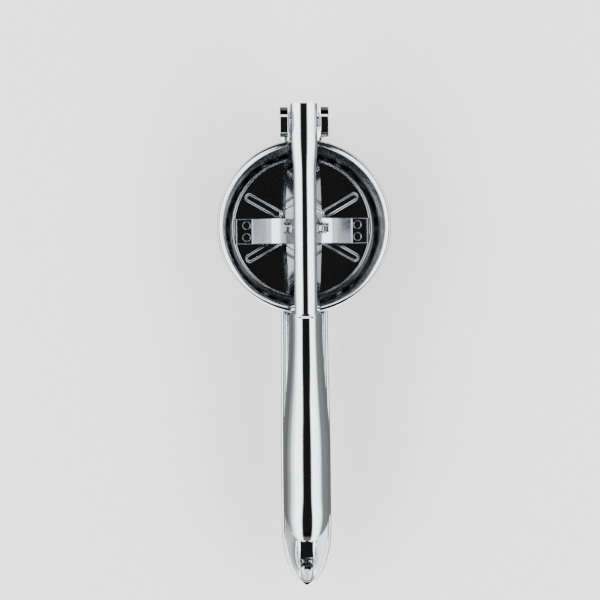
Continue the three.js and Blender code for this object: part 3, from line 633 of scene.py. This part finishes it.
class RICER_OT_rivets(bpy.types.Operator):
    """Make the domed rivets of the brackets, the tongue, the grip and the strap"""

    bl_idname = "ricer.rivets"
    bl_label = "Rivets"

    HEAD = 0.9
    FOOT = 0.1

    def upright(self, name, body, both):
        """A rivet along Z from its node's box: a dome below, or one on each end."""
        low, high = node_box(name)
        middle = ((low + high) / 2)[:2]
        radius = (high[0] - low[0]) / 2
        shank, head = radius * 0.6, self.HEAD
        long = high[2] - low[2] - head
        below = dome_profile(radius, low[2] + head, low[2], shank, self.FOOT if both else long)
        parts = [below]
        if both:
            parts = [dome_profile(radius, high[2] - head, high[2], shank, long - head), below]
        self.put(name, parts, body, (*middle, 0), np.eye(3))

    def flush(self, name):
        """A strap rivet, pressed nearly flat: shank and head with softly rounded edges."""
        low, high = node_box(name)
        x, y = ((low + high) / 2)[:2]
        radius = (high[0] - low[0]) / 2
        steps = [(radius * 0.6, low[2], high[2] - 0.6), (radius, high[2] - 0.6, high[2])]
        turned_piece(name + "_flush", rod_profile(*steps, chamfer=0.28), finish("pressed"),
                     "plunger", [name], place=(x, y, 0), segments=48)

    def put(self, name, profiles, body, place, turn):
        """Writes one or two turned profiles as one rivet, turned to its place."""
        a = np.linspace(0, 2 * pi, 48, endpoint=False)
        parts = []
        for profile in profiles:
            radius, height = profile[:, 0:1], profile[:, 1:2]
            points = np.stack([radius * np.cos(a), radius * np.sin(a), height + 0 * a], -1)
            if height[-1, 0] > height[0, 0]:
                points = points[:, ::-1]
            points = points.reshape(-1, 3) @ turn.T
            parts.append((points + np.asarray(place, float),
                          grid_faces(len(profile), 48, wrap_columns=True)))
        points, faces = merged_parts(parts)
        write_mesh(name + "_domed", points, faces, finish("turned"), body, [name])

    def execute(self, context):
        for name in ("tongue_rivet_front", "tongue_rivet_rear"):
            self.upright(name, "basket_frame", both=True)
        for name in ("grip_stud_front", "grip_stud_rear"):
            self.upright(name, "lever", both=False)
        for i in range(4):
            self.flush(f"strap_rivet_{i + 1}")
        half = 3.05
        for name in ("hinge_rivet_left", "hinge_rivet_right", "hinge_rivet_lower",
                     "handle_rivet_left", "handle_rivet_right"):
            low, high = node_box(name)
            x, y, z = (low + high) / 2
            out = np.array([x, y, 0]) / hypot(x, y)
            radius = (high[2] - low[2]) / 2
            shank, base = radius * 0.62, half - self.HEAD
            turn = np.stack([[-out[1], out[0], 0], [0, 0, 1], out], 1)
            parts = [dome_profile(radius, base, half, shank, 2 * base),
                     dome_profile(radius, -base, -half, shank, self.FOOT)]
            self.put(name, parts, "basket_frame", (x, y, z), turn)
        return {"FINISHED"}


# ------------------------------------------------------------------ plunger

def disc_profile(s):
    """Upper face out to the lip, over the lip and back under the plate, as radius and height."""
    radius = DISC[1][0]
    low, top = DISC[0][2], DISC[1][2]
    sheet = s["disc_sheet"]
    bend = 1.8
    inner = (radius - bend, low + bend)
    flat = radius - bend - 0.6
    # rings stand close together where the ribs begin and end
    rows = np.concatenate([np.linspace(0.6, 11, 8), np.linspace(12, 16, 9),
                           np.linspace(17, 32, 10), np.linspace(32.6, flat, 14)])
    upper = np.stack([rows, 0 * rows + low + sheet], 1)
    corner = arc(inner, bend - sheet, -90, 0, 8)
    lip = arc((radius - sheet / 2, top - sheet / 2), sheet / 2, 180, 0, 10)
    under = arc(inner, bend, 0, -90, 10)
    lower = np.stack([rows[::-1], 0 * rows + low], 1)
    return np.concatenate([[[0, low + sheet]], upper, corner, lip, under, lower, [[0, low]]])


def rib_height(x, y, s, first=15.4, last=33.6):
    """Height of the six pressed ribs at a point: flat on top, with rounded shoulders.

    Each rib's middle line runs along a radius, from first to last.
    """
    height = np.zeros_like(x)
    for k in range(6):
        a = radians(30 + 60 * k)
        along = x * cos(a) + y * sin(a)
        across = np.abs(-x * sin(a) + y * cos(a))
        beyond = np.maximum(0, np.maximum(first - along, along - last))
        away = np.hypot(beyond, across)
        half = s["rib_width"] / 2
        height = np.maximum(height, s["rib_height"] * (1 - smooth(away, half * 0.55, half)))
    return height


def rib_angles(radius, lines=19, between=7, half_band=3.1, parallel_from=10, widest=0.48):
    """Angles of the grid's columns at each radius: close together across each rib.

    The lines of a band run side by side from parallel_from outwards, and meet at the middle.
    """
    across = np.linspace(-half_band, half_band, lines)
    reach = np.minimum(1, radius[:, None] / parallel_from)
    sine = across[None, :] * reach / np.maximum(radius[:, None], 1e-6)
    near = np.arcsin(np.clip(sine, -widest, widest))
    gap_start, gap_end = near[:, -1:], near[:, :1] + pi / 3
    steps = np.linspace(0, 1, between + 2)[1:-1]
    plain = gap_start + (gap_end - gap_start) * steps[None, :]
    sector = np.concatenate([near, plain], 1)
    return np.concatenate([sector + radians(30 + 60 * k) for k in range(6)], 1)


class RICER_OT_plunger(bpy.types.Operator):
    """Make the ribbed pressing disc and the strap that carries it"""

    bl_idname = "ricer.plunger"
    bl_label = "Plunger"

    def make_disc(self, s):
        """Grid of rings by columns on the disc's turned profile, lifted where a rib lies."""
        profile = disc_profile(s)
        angles = rib_angles(profile[:, 0])
        radius = profile[:, 0:1]
        x, y = radius * np.cos(angles), radius * np.sin(angles)
        lift = rib_height(x, y, s)
        z = profile[:, 1:2] + lift
        centre = (DISC[0] + DISC[1]) / 2
        points = np.stack([x + centre[0], y + centre[1], z], -1)
        faces = grid_faces(len(profile), angles.shape[1], wrap_columns=True)
        write_mesh("pressing_disc", points.reshape(-1, 3), faces, finish("pressed"), "plunger",
                   ["plunger_disc"], sharp=60)

    def make_strap(self, s):
        """The strap's path in X and Z, thickened, then carried across its width along Y."""
        sheet = s["strap_sheet"]
        low, high = STRAP
        foot, leg, knee = low[2] + sheet, 6.2, PIN[1] - 36
        foot_end, arch = 27.5, (16.8, foot + 5.4)
        right = [(high[0], foot), (foot_end, foot), arch, (leg, knee), (leg, high[2])]
        bends = [0, 3, 36, 2, 3]
        corners = right + [(-x, z) for x, z in right[::-1]]
        path = resampled(rounded(corners, bends + bends[::-1], steps=14), 1.5)
        outline = walled(path, sheet)
        points, faces = prism_parts(outline, low[1], high[1], "Y")
        piece = write_mesh("plunger_strap_bent", points, faces, finish("pressed"), "plunger",
                           ["plunger_strap"])
        add_bevel(piece, 0.35, 3)

    def execute(self, context):
        s = sizes()
        self.make_disc(s)
        self.make_strap(s)
        return {"FINISHED"}


# ------------------------------------------------------------------ lever arm and grip

def arm_top(y):
    """Height of the arm's crown: level by the hinge, a parabola, then an even slope."""
    level_to, blend, slope = 30, 40, 0.055
    along = np.maximum(0, level_to - np.asarray(y, float))
    fall = np.where(along < blend, along ** 2 / (2 * blend), along - blend / 2)
    return ARM[1][2] - BOX_GAP - slope * fall


def lower_tangent(a, radius_a, b, radius_b):
    """Angle at which the line under two circles touches both."""
    apart = hypot(b[0] - a[0], b[1] - a[1])
    return atan2(b[1] - a[1], b[0] - a[0]) + acos((radius_a - radius_b) / apart)


def arm_bottom(y):
    """Height of the arm's lower edge: round both pins, straight between, rising to the grip."""
    tip = ARM[1][1] - HINGE[0]
    boss = PIN[1] - ARM[0][2]
    lip = (-44.0, BASKET[1][2] + 8)
    tail = (ARM[0][1], lip[1] - 1.0)
    first = lower_tangent(HINGE, tip, PIN, boss)
    second = lower_tangent(PIN, boss, lip, 0)
    hinge_touch = HINGE[0] + tip * cos(first)
    pin_touch = PIN[0] + boss * cos(first)
    pin_leave = PIN[0] + boss * cos(second)
    round_hinge = HINGE[1] - np.sqrt(np.maximum(0, tip ** 2 - (y - HINGE[0]) ** 2))
    round_pin = PIN[1] - np.sqrt(np.maximum(0, boss ** 2 - (y - PIN[0]) ** 2))
    between = np.interp(y, [pin_touch, hinge_touch],
                        [PIN[1] + boss * sin(first), HINGE[1] + tip * sin(first)])
    rising = np.interp(y, [tail[0], lip[0], pin_leave],
                       [tail[1], lip[1], PIN[1] + boss * sin(second)])
    return np.select([y > hinge_touch, y > pin_touch, y > pin_leave],
                     [round_hinge, between, round_pin], rising)


def arm_section(y, s):
    """Half-width at the shoulders and widening per millimetre of depth, at each station."""
    near = smooth(y, 24, HINGE[0] - 7)
    half = s["arm_half"] + (s["arm_half_hinge"] - s["arm_half"]) * near
    widening, widening_hinge = 0.13, 0.04
    return half, widening + (widening_hinge - widening) * near


class RICER_OT_lever(bpy.types.Operator):
    """Make the lever arm and the grip shell over it"""

    bl_idname = "ricer.lever"
    bl_label = "Lever"

    def make_arm(self, s):
        """Grid of stations along Y by an outline in X and Z: flank, elliptic crown, flank."""
        sheet = s["arm_sheet"]
        tip = ARM[1][1] - HINGE[0] - BOX_GAP
        swing = np.radians(np.linspace(89.9, 20, 22))
        y = np.concatenate([HINGE[0] + tip * np.sin(swing), np.linspace(HINGE[0] + 2.5, 8, 44),
                            np.linspace(7.5, -9, 34), np.linspace(-10.5, ARM[0][1], 60)])
        half, flare = arm_section(y, s)
        narrow = smooth(-y, 49, 70)    # 1 mm narrower on each side inside the grip
        top, bottom = arm_top(y), arm_bottom(y)
        shoulder = top - s["arm_crown"]
        a = np.radians(np.linspace(0, 180, 41))
        down = np.linspace(0, 1, 13)[:-1]

        def skin(inset):
            """Outer skin, or the inner one when it is set in by the sheet."""
            reach = (half - inset - narrow)[:, None]
            lift = s["arm_crown"] - inset
            base = bottom[:, None]
            rise = (shoulder - bottom)[:, None]
            foot = reach + flare[:, None] * rise
            xs = np.concatenate([foot + (reach - foot) * down, reach * np.cos(a),
                                 (-foot - (reach - foot) * down)[:, ::-1]], 1)
            zs = np.concatenate([base + rise * down, shoulder[:, None] + lift * np.sin(a),
                                 (base + rise * down)[:, ::-1]], 1)
            return xs, zs

        outer, inner = skin(0), skin(sheet)
        x = np.concatenate([outer[0], inner[0][:, ::-1]], 1)
        z = np.concatenate([outer[1], inner[1][:, ::-1]], 1)
        points = np.stack([x, np.broadcast_to(y[:, None], x.shape), z], -1)
        rows, columns = x.shape
        faces = grid_faces(rows, columns, wrap_columns=True)
        half_ring = columns // 2
        for base in (0, (rows - 1) * columns):
            strip = [[base + i, base + i + 1, base + columns - 2 - i, base + columns - 1 - i]
                     for i in range(half_ring - 1)]
            faces += strip if base else [face[::-1] for face in strip]
        piece = write_mesh("lever_arm_channel", points.reshape(-1, 3), faces, finish("polished"),
                           "lever", ["lever_arm"])
        add_bevel(piece, 0.45, 3, 50)

    def make_grip(self, s):
        """Grid along Y by a bow in X and Z that closes to a rounded end."""
        sheet = s["grip_sheet"]
        front, end = GRIP[1][1], GRIP[0][1]
        nose = 21.4
        start = end + nose
        front_half, front_depth, depth_loss = 9.2, 17.2, 2.2
        lip_length, above_arm = 3.4, 1.3
        straight = np.concatenate([np.linspace(front, front - 3.6, 13),
                                   np.linspace(front - 4.8, start, 66)])
        swing = np.radians(np.linspace(0, 90, 40))[1:]
        span = 65

        def skin(inset, lip):
            """Superellipse |x/half|^p + |z/height|^p = 1 at each station, p near 2.5."""
            y = np.concatenate([straight, start - (nose - inset) * np.sin(swing)])
            swell = smooth(front - y, 2, 84)
            half = front_half + (GRIP[1][0] - front_half) * swell - inset
            shrink = np.concatenate([np.ones(len(straight)), np.cos(swing)])
            half = half * shrink
            depth = front_depth - depth_loss * smooth(front - y, 0, 60)
            # the front edge is ground down to a feather over the arm
            drop = lip * (1 - smooth(front - y, 0, lip_length))
            base = arm_top(y) + above_arm - depth - drop
            crown_length = nose * 1.15
            along = np.clip((end + crown_length - y) / (crown_length - inset * 0.9), 0, 1)
            height = (depth - inset) * np.sqrt(np.maximum(0, 1 - along ** 2))
            power = 2.8 - 0.5 * smooth(front - y, 10, 60) + 0.3 * smooth(-y, 140, 172)
            a = np.linspace(0, pi, span)[None, :]
            c, sn = np.cos(a), np.sin(a)
            p = (2 / power)[:, None]
            x = half[:, None] * np.sign(c) * np.abs(c) ** p
            z = base[:, None] + height[:, None] * np.abs(sn) ** p
            return x, np.broadcast_to(y[:, None], x.shape), z

        outer, inner = skin(0, 0.9), skin(sheet, 0)
        grids = [np.concatenate([o, i[:, ::-1]], 1) for o, i in zip(outer, inner)]
        points = np.stack(grids, -1)
        rows, columns = grids[0].shape
        faces = grid_faces(rows, columns, wrap_columns=True)
        strip = [[i, i + 1, columns - 2 - i, columns - 1 - i] for i in range(span - 1)]
        faces += [face[::-1] for face in strip]
        piece = write_mesh("upper_grip_shell", points.reshape(-1, 3), faces, finish("polished"),
                           "lever", ["upper_grip"])
        add_bevel(piece, 0.4, 3, 50)

    def execute(self, context):
        s = sizes()
        self.make_arm(s)
        self.make_grip(s)
        return {"FINISHED"}


# ------------------------------------------------------------------ lower handle

class RICER_OT_lower_handle(bpy.types.Operator):
    """Make the open trough of the lower handle, with its rolled edges"""

    bl_idname = "ricer.lower_handle"
    bl_label = "Lower handle"

    FLOOR_STOP = 14.8     # from the floor's end to the handle's end
    END_DEPTH = 7.0       # of the trough at its end
    FILLET = 0.16         # share of the wall's length that is rounded into the floor

    def rails(self):
        """Right half of the rim line and of the floor's outline, matched point by point.

        The rim runs straight and then round a half ellipse; the floor is a strip with rounded
        corners that ends before it, so the wall's end is a sloped facet between two creases.
        """
        end = LOWER[0][1]
        nose, front, split = 33.5, -46.0, -150.0
        start = end + nose
        swing = np.linspace(0, pi / 2, 76)
        y = np.concatenate([np.linspace(front, split, 70), np.linspace(split, start, 10)[1:-1],
                            start - nose * np.sin(swing)])
        front_half = 12.7
        full = front_half + (LOWER[1][0] - front_half) * smooth(-y, 48, 130)
        shrink = np.sqrt(np.maximum(0, 1 - (np.maximum(0, start - y) / nose) ** 2))
        rim = np.stack([full * shrink, y], 1)
        rim[-1, 0] = 0.0
        floor_end, corner, facet = end + self.FLOOR_STOP, 0.7, 5.6
        floor_half = 6.6 - 2.3 * smooth(-y, 110, 168)
        last = np.count_nonzero(rim[:, 0] > facet)
        side = y[:last]
        side = np.where(side < split, np.interp(side, [side[-1], split],
                                                [floor_end + corner, split]), side)
        half_end = floor_half[last - 1]
        quarter = np.radians(np.linspace(0, 90, 9))[1:]
        corner_x = half_end - corner + corner * np.cos(quarter)
        corner_y = floor_end + corner - corner * np.sin(quarter)
        flat_x = np.linspace(half_end - corner, 0, len(y) - last - len(quarter) + 1)[1:]
        foot_x = np.concatenate([floor_half[:last], corner_x, flat_x])
        foot_y = np.concatenate([side, corner_y, np.full(len(flat_x), floor_end)])
        return rim, np.stack([foot_x, foot_y], 1)

    def execute(self, context):
        """Sections from the middle of the floor up the wall, over the roll and back outside."""
        s = sizes()
        sheet, hem = s["lower_sheet"], s["hem"]
        low, top = LOWER[0][2], LOWER[1][2]
        rim, foot = self.rails()
        tangent = np.gradient(rim, axis=0)
        tangent[-1] = (-1, 0)
        tangent /= np.linalg.norm(tangent, axis=1, keepdims=True)
        out = np.stack([-tangent[:, 1], tangent[:, 0]], 1)
        out *= np.sign(out[:, :1] + 1e-9)
        out[-1] = (0, -1)
        heart = rim - out * hem
        middle = np.stack([0 * foot[:, 0], np.maximum(foot[:, 1], foot[-1, 1] + 6.0)], 1)
        depth = (top - low) + (self.END_DEPTH - (top - low)) * smooth(-foot[:, 1], 96, 174)
        base = top - depth

        def level(plan, height):
            """One column of points: places in plan and their heights."""
            return np.concatenate([plan, np.broadcast_to(height, (len(plan),))[:, None]], 1)

        def wall(upper, lower, upper_z, lower_z):
            """Straight down from the rim, then a quadratic curve into the floor."""
            knee = lower + (upper - lower) * self.FILLET
            knee_z = lower_z + (upper_z - lower_z) * self.FILLET
            inward = middle - lower
            reach = np.maximum(np.linalg.norm(inward, axis=1), 1e-6)
            inward *= np.minimum(1.0, 1.3 / reach)[:, None]
            line = [level(upper + (knee - upper) * t, upper_z + (knee_z - upper_z) * t)
                    for t in np.linspace(0, 1, 12)]
            for t in np.linspace(0, 1, 9)[1:]:
                near, turn, far = (1 - t) ** 2, 2 * t * (1 - t), t ** 2
                plan = knee * near + lower * turn + (lower + inward) * far
                line.append(level(plan, knee_z * near + lower_z * (turn + far)))
            return line

        def floor(edge, height, shares):
            """Level columns between the handle's middle line and the foot of the wall."""
            return [level(edge[:, :2] * t + middle * (1 - t), height) for t in shares]

        inner = wall(heart - out * (hem - 0.02), foot, top - hem, base + sheet)
        shift = np.minimum(sheet, np.hypot(foot[:, 0], 1.0) * 0.6)[:, None]
        outer = wall(heart - out * (hem * 0.15), foot + out * shift * 0.75,
                     top - 2 * hem + 0.06, base)
        roll = [level(heart + out * hem * cos(a), top - hem + hem * sin(a))
                for a in np.radians(np.linspace(170, -96, 20))]
        columns = (floor(inner[-1], base + sheet, (0.0, 0.33, 0.66)) + inner[::-1] + roll
                   + outer + floor(outer[-1], base, (0.66, 0.33, 0.0)))
        half = np.stack(columns, 1)
        # the front end is trimmed to the round of the basket's wall
        seat, widest, trim_end = 46.7, 20, -46.0
        lift = -np.sqrt(seat ** 2 - np.minimum(half[..., 0], widest) ** 2) - trim_end
        half[..., 1] += lift * smooth(half[..., 1], -62, trim_end)
        other = half * np.array([-1, 1, 1])
        both = np.concatenate([half, other[::-1][1:]])
        count = half.shape[1]
        ends = [list(range(count))[::-1], [(len(both) - 1) * count + i for i in range(count)]]
        write_mesh("lower_handle_trough", both.reshape(-1, 3), grid_faces(len(both), count) + ends,
                   finish("polished"), "basket_frame", ["lower_handle"], sharp=50)
        return {"FINISHED"}


# ------------------------------------------------------------------ brackets

def saddle_parts(bottom, top, half_angle, facing, s, sheet=1.6, space=0.3):
    """A plate on the basket's wall: angle by height, inner and outer faces and their edges."""
    a = np.radians(facing + np.linspace(-half_angle, half_angle, 41))
    z = np.linspace(bottom, top, 9)
    z, a = np.meshgrid(z, a, indexing="ij")
    inner = wall_radius(z, s) + s["basket_sheet"] + space
    faces_in = np.stack([inner * np.cos(a), inner * np.sin(a), z], -1)
    outer = inner + sheet
    faces_out = np.stack([outer * np.cos(a), outer * np.sin(a), z], -1)
    rows, columns = z.shape
    count = rows * columns
    points = np.concatenate([faces_in.reshape(-1, 3), faces_out.reshape(-1, 3)])
    faces = [f[::-1] for f in grid_faces(rows, columns)] + grid_faces(rows, columns, first=count)
    rim = ([i for i in range(columns)] + [columns - 1 + columns * r for r in range(1, rows)]
           + [count - 2 - i for i in range(columns - 1)]
           + [columns * r for r in range(rows - 2, 0, -1)])
    faces += [[a, b, b + count, a + count] for a, b in zip(rim, rim[1:] + rim[:1])]
    return points, faces


class RICER_OT_brackets(bpy.types.Operator):
    """Make the hinge bracket with its flanged ears and the handle bracket with its tongue"""

    bl_idname = "ricer.brackets"
    bl_label = "Brackets"

    def make_hinge_bracket(self, s):
        """Saddle on the wall, two ears drawn in Y and Z, and their turned-out round flanges."""
        low, high = BRACKET
        ear = high[1] - HINGE[0] - BOX_GAP
        ear_sheet, flange, inset = 1.6, 4.4, 0.8
        outer_x = node_box("hinge_pin")[1][0] + 0.3
        inner_x = outer_x - flange
        bottom, saddle_top = low[2], BASKET[1][2] - s["rim_bead"] - 1.2
        rim = BASKET[1][1]
        front, back = HINGE[0] - ear, HINGE[0] + ear
        web = arc(HINGE, ear - inset, 0, 180, 48)
        plate = np.concatenate([
            [[rim - 2, bottom + 3], [rim + 0.5, bottom + 3], [back - inset, BASKET[1][2] - 3]],
            web, [[front + inset, saddle_top + 0.5], [rim - 2, saddle_top - 0.5]]])
        foot = BASKET[1][2] + 4
        band = np.concatenate([
            [[back, foot]], arc(HINGE, ear, 0, 180, 48), [[front, foot]],
            [[front + ear_sheet, foot]], arc(HINGE, ear - ear_sheet, 180, 0, 48),
            [[back - ear_sheet, foot]]])
        parts = [saddle_parts(bottom, saddle_top, 22, 90, s)]
        for sign in (-1, 1):
            spans = [(plate, inner_x + 0.02, inner_x + ear_sheet), (band, inner_x, outer_x)]
            parts += [prism_parts(outline, *sorted((sign * start, sign * stop)), "X")
                      for outline, start, stop in spans]
        self.put("hinge_bracket_stamped", parts, "hinge_bracket")

    def make_handle_bracket(self, s):
        """Saddle on the wall, a flat tongue along the trough and a web between them."""
        low, high = TONGUE
        sheet, half = 2.0, 5.6
        rivet_head, lower_sheet_gap = 0.9, 0.3
        tongue_low = node_box("tongue_rivet_front")[1][2] - rivet_head - lower_sheet_gap - sheet
        start = -(wall_radius(tongue_low, s) + s["basket_sheet"] + 0.3 + 0.8)
        parts = [saddle_parts(low[2], high[2], 17, -90, s)]
        outline = rounded([(-half, start), (-half, low[1]), (half, low[1]), (half, start)], 2.5,
                          closed=True)
        parts.append(prism_parts(outline, tongue_low, tongue_low + sheet, "Z"))
        web_low, web_high = tongue_low + 1, tongue_low + 13
        web = [(start - 14, web_low), (start, web_low), (start, web_high), (start - 3, web_high)]
        parts.append(prism_parts(web, -1, 1, "X"))
        self.put("handle_bracket_stamped", parts, "handle_bracket")

    def put(self, name, parts, node):
        """Joins the parts, each turned outwards, into one piece with rounded edges."""
        turned = []
        for points, faces in parts:
            work = bmesh.new()
            verts = [work.verts.new(p) for p in points]
            for face in faces:
                work.faces.new([verts[i] for i in face])
            bmesh.ops.recalc_face_normals(work, faces=work.faces)
            work.verts.index_update()
            turned.append((points, [[v.index for v in f.verts] for f in work.faces]))
            work.free()
        points, faces = merged_parts(turned)
        piece = write_mesh(name, points, faces, finish("pressed"), "basket_frame",
                           [node])
        add_bevel(piece, 0.3, 3, 40)

    def execute(self, context):
        s = sizes()
        self.make_hinge_bracket(s)
        self.make_handle_bracket(s)
        return {"FINISHED"}


# ------------------------------------------------------------------ stage

# brightness of the light tent by the angle from straight up, in degrees, across X
TENT = ((-180, 0.03), (-125, 0.04), (-96, 0.11), (-72, 0.5), (-50, 1.0), (-22, 1.0),
        (-12, 0.003), (11, 0.003), (19, 1.0), (46, 0.9), (78, 0.07), (180, 0.03))


def studio_world():
    """A light tent: a bright panel on the left and on the right, a dark strip overhead along Y.

    Brightness follows twice the tilt, across X, of a mirror that would send the direction
    straight up: a = 2 asin(x / sqrt(2 (1 + z))). The panels fade out towards Y and -Y.
    """
    world = bpy.data.worlds.new("light_tent")
    bpy.context.scene.world = world
    world.use_nodes = True
    tree = world.node_tree
    tree.nodes.clear()

    direction = add_node(tree, "ShaderNodeTexCoord").outputs["Generated"]
    x, y, z = add_node(tree, "ShaderNodeSeparateXYZ", {0: direction}).outputs
    spread = add_node(tree, "ShaderNodeMath", {0: z, 1: 2.0, 2: 2.0}, operation="MULTIPLY_ADD")
    spread = add_node(tree, "ShaderNodeMath", {0: spread}, operation="SQRT")
    tilt = add_node(tree, "ShaderNodeMath", {0: x, 1: spread}, operation="DIVIDE")
    half = add_node(tree, "ShaderNodeMath", {0: tilt}, operation="ARCSINE")
    angle = add_node(tree, "ShaderNodeMath", {0: half, 1: 2.0}, operation="MULTIPLY")
    share = add_node(tree, "ShaderNodeMapRange", {
        "Value": angle, "From Min": -pi, "From Max": pi})
    ramp = add_node(tree, "ShaderNodeValToRGB", {"Fac": share})
    ramp.color_ramp.interpolation = "EASE"
    elements = ramp.color_ramp.elements
    while len(elements) < len(TENT):
        elements.new(0.5)
    for element, (degree, value) in zip(elements, TENT):
        element.position = (degree + 180) / 360
        element.color = (value, value, value, 1)
    # the panels end a little sooner behind the hinge (Y) than in front of the handles (-Y)
    side = add_node(tree, "ShaderNodeMath", {0: y, 1: 0.21})
    side = add_node(tree, "ShaderNodeMath", {0: side}, operation="ABSOLUTE")
    within = add_node(tree, "ShaderNodeMapRange", {
        "Value": side, "From Min": 0.72, "From Max": 0.86, "To Min": 1.0, "To Max": 0.04},
        interpolation_type="SMOOTHSTEP")
    panels = add_node(tree, "ShaderNodeMath", {0: ramp, 1: within}, operation="MULTIPLY")
    # a third, weaker panel behind the hinge, a short strip halfway up
    height, half_height, half_width = 0.70, 0.07, 0.3
    away = add_node(tree, "ShaderNodeMath", {0: y, 1: height}, operation="SUBTRACT")
    away = add_node(tree, "ShaderNodeMath", {0: away}, operation="ABSOLUTE")
    behind = add_node(tree, "ShaderNodeMapRange", {
        "Value": away, "From Min": half_height, "From Max": 2 * half_height, "To Min": 0.6,
        "To Max": 0.0}, interpolation_type="SMOOTHSTEP")
    above = add_node(tree, "ShaderNodeMath", {0: z, 1: 0.0}, operation="GREATER_THAN")
    behind = add_node(tree, "ShaderNodeMath", {0: behind, 1: above}, operation="MULTIPLY")
    across = add_node(tree, "ShaderNodeMath", {0: x}, operation="ABSOLUTE")
    short = add_node(tree, "ShaderNodeMapRange", {
        "Value": across, "From Min": half_width, "From Max": half_width + 0.1, "To Min": 1.0,
        "To Max": 0.0})
    behind = add_node(tree, "ShaderNodeMath", {0: behind, 1: short}, operation="MULTIPLY")
    light = add_node(tree, "ShaderNodeMath", {0: panels, 1: behind}, operation="MAXIMUM")
    # below the horizon the dark floor of the room sends a little back
    ground = add_node(tree, "ShaderNodeMapRange", {
        "Value": z, "From Min": -0.3, "From Max": 0.0, "To Min": 0.045, "To Max": 0.0},
        interpolation_type="SMOOTHSTEP")
    light = add_node(tree, "ShaderNodeMath", {0: light, 1: ground}, operation="MAXIMUM")
    background = add_node(tree, "ShaderNodeBackground", {"Color": light, "Strength": 5.2})
    add_node(tree, "ShaderNodeOutputWorld", {"Surface": background})


class RICER_OT_stage(bpy.types.Operator):
    """Make the floor, the light and the camera"""

    bl_idname = "ricer.stage"
    bl_label = "Stage"

    def make_floor(self):
        """A level round floor of rings with a painted pool of light: pale where the ricer stands,
        darker far away.
        """
        reach, rings, spokes, below = 4000, 5, 64, 0.05
        radius = np.linspace(0, reach, rings)
        a = np.linspace(0, 2 * pi, spokes, endpoint=False)
        r, a = np.meshgrid(radius, a, indexing="ij")
        points = np.stack([r * np.cos(a), r * np.sin(a), 0 * r - below], -1).reshape(-1, 3)
        mesh = bpy.data.meshes.new("stage_floor")
        mesh.from_pydata((points * MM).tolist(), [], grid_faces(rings, spokes, wrap_columns=True))
        material = bpy.data.materials.new("matt_card")
        material.use_nodes = True
        tree = material.node_tree
        tree.nodes.clear()
        place = add_node(tree, "ShaderNodeTexCoord").outputs["Object"]
        away = add_node(tree, "ShaderNodeVectorMath", {0: place}, operation="LENGTH")
        # painted light: the floor fades from full colour to 0.22 between 250 and 900 mm out, a pool
        # of light painted round the ricer
        fall = add_node(tree, "ShaderNodeMapRange", {
            "Value": away.outputs["Value"], "From Min": 250 * MM, "From Max": 900 * MM,
            "To Min": 1.0, "To Max": 0.22}, interpolation_type="SMOOTHSTEP")
        base = add_node(tree, "ShaderNodeVectorMath", {
            0: tuple(bpy.context.scene.ricer_colours.floor), 1: fall}, operation="MULTIPLY")
        shader = add_node(tree, "ShaderNodeBsdfPrincipled", {
            "Base Color": base, "Roughness": 0.9})
        add_node(tree, "ShaderNodeOutputMaterial", {"Surface": shader})
        mesh.materials.append(material)
        floor = bpy.data.objects.new("stage_floor", mesh)
        # the steel mirrors the dark room below the panels, as it would on a raised stand
        floor.visible_glossy = False
        bpy.context.scene.collection.objects.link(floor)

    def make_camera(self):
        """Nearly straight above, with a long lens, the hinge at the top of the view."""
        rim = BASKET[1][2]
        place = Vector((-41, -69, rim + 1600)) * MM
        aim = Vector((-2.6, -40, rim)) * MM
        data = bpy.data.cameras.new("camera")
        data.sensor_width = 36
        data.lens = 178
        data.clip_end = 50
        camera = bpy.data.objects.new("camera", data)
        bpy.context.scene.collection.objects.link(camera)
        back = (place - aim).normalized()
        up = Matrix.Rotation(radians(-0.6), 3, "Z") @ Vector((0, 1, 0))
        right = up.cross(back).normalized()
        up = back.cross(right)
        turn = Matrix((right, up, back)).transposed().to_4x4()
        camera.matrix_world = Matrix.Translation(place) @ turn
        bpy.context.scene.camera = camera

    def execute(self, context):
        studio_world()
        self.make_floor()
        self.make_camera()
        return {"FINISHED"}


# ------------------------------------------------------------------ panel and registration

OPERATORS = (RICER_OT_stage, RICER_OT_basket, RICER_OT_brackets, RICER_OT_lower_handle,
             RICER_OT_plunger, RICER_OT_lever, RICER_OT_pins, RICER_OT_rivets)


class RICER_PT_panel(bpy.types.Panel):
    """Lists the ricer's sizes, colours and pieces"""

    bl_idname = "RICER_PT_panel"
    bl_label = "Potato ricer"
    bl_space_type = "VIEW_3D"
    bl_region_type = "UI"
    bl_category = "Ricer"

    def draw(self, context):
        column = self.layout.column()
        for group, kind in ((context.scene.ricer_sizes, RicerSizes),
                            (context.scene.ricer_colours, RicerColours)):
            for key in kind.__annotations__:
                column.prop(group, key)
        for operator in OPERATORS:
            column.operator(operator.bl_idname)


CLASSES = (RicerSizes, RicerColours, *OPERATORS, RICER_PT_panel)


def register():
    """Adds the classes and the scene's two groups of properties."""
    for kind in CLASSES:
        bpy.utils.register_class(kind)
    bpy.types.Scene.ricer_sizes = bpy.props.PointerProperty(type=RicerSizes)
    bpy.types.Scene.ricer_colours = bpy.props.PointerProperty(type=RicerColours)


def unregister():
    """Removes what register added."""
    del bpy.types.Scene.ricer_colours
    del bpy.types.Scene.ricer_sizes
    for kind in reversed(CLASSES):
        bpy.utils.unregister_class(kind)


def main():
    """Makes the whole ricer on its stage."""
    register()
    for operator in OPERATORS:
        group, name = operator.bl_idname.split(".")
        getattr(getattr(bpy.ops, group), name)()


if __name__ == "__main__":
    main()
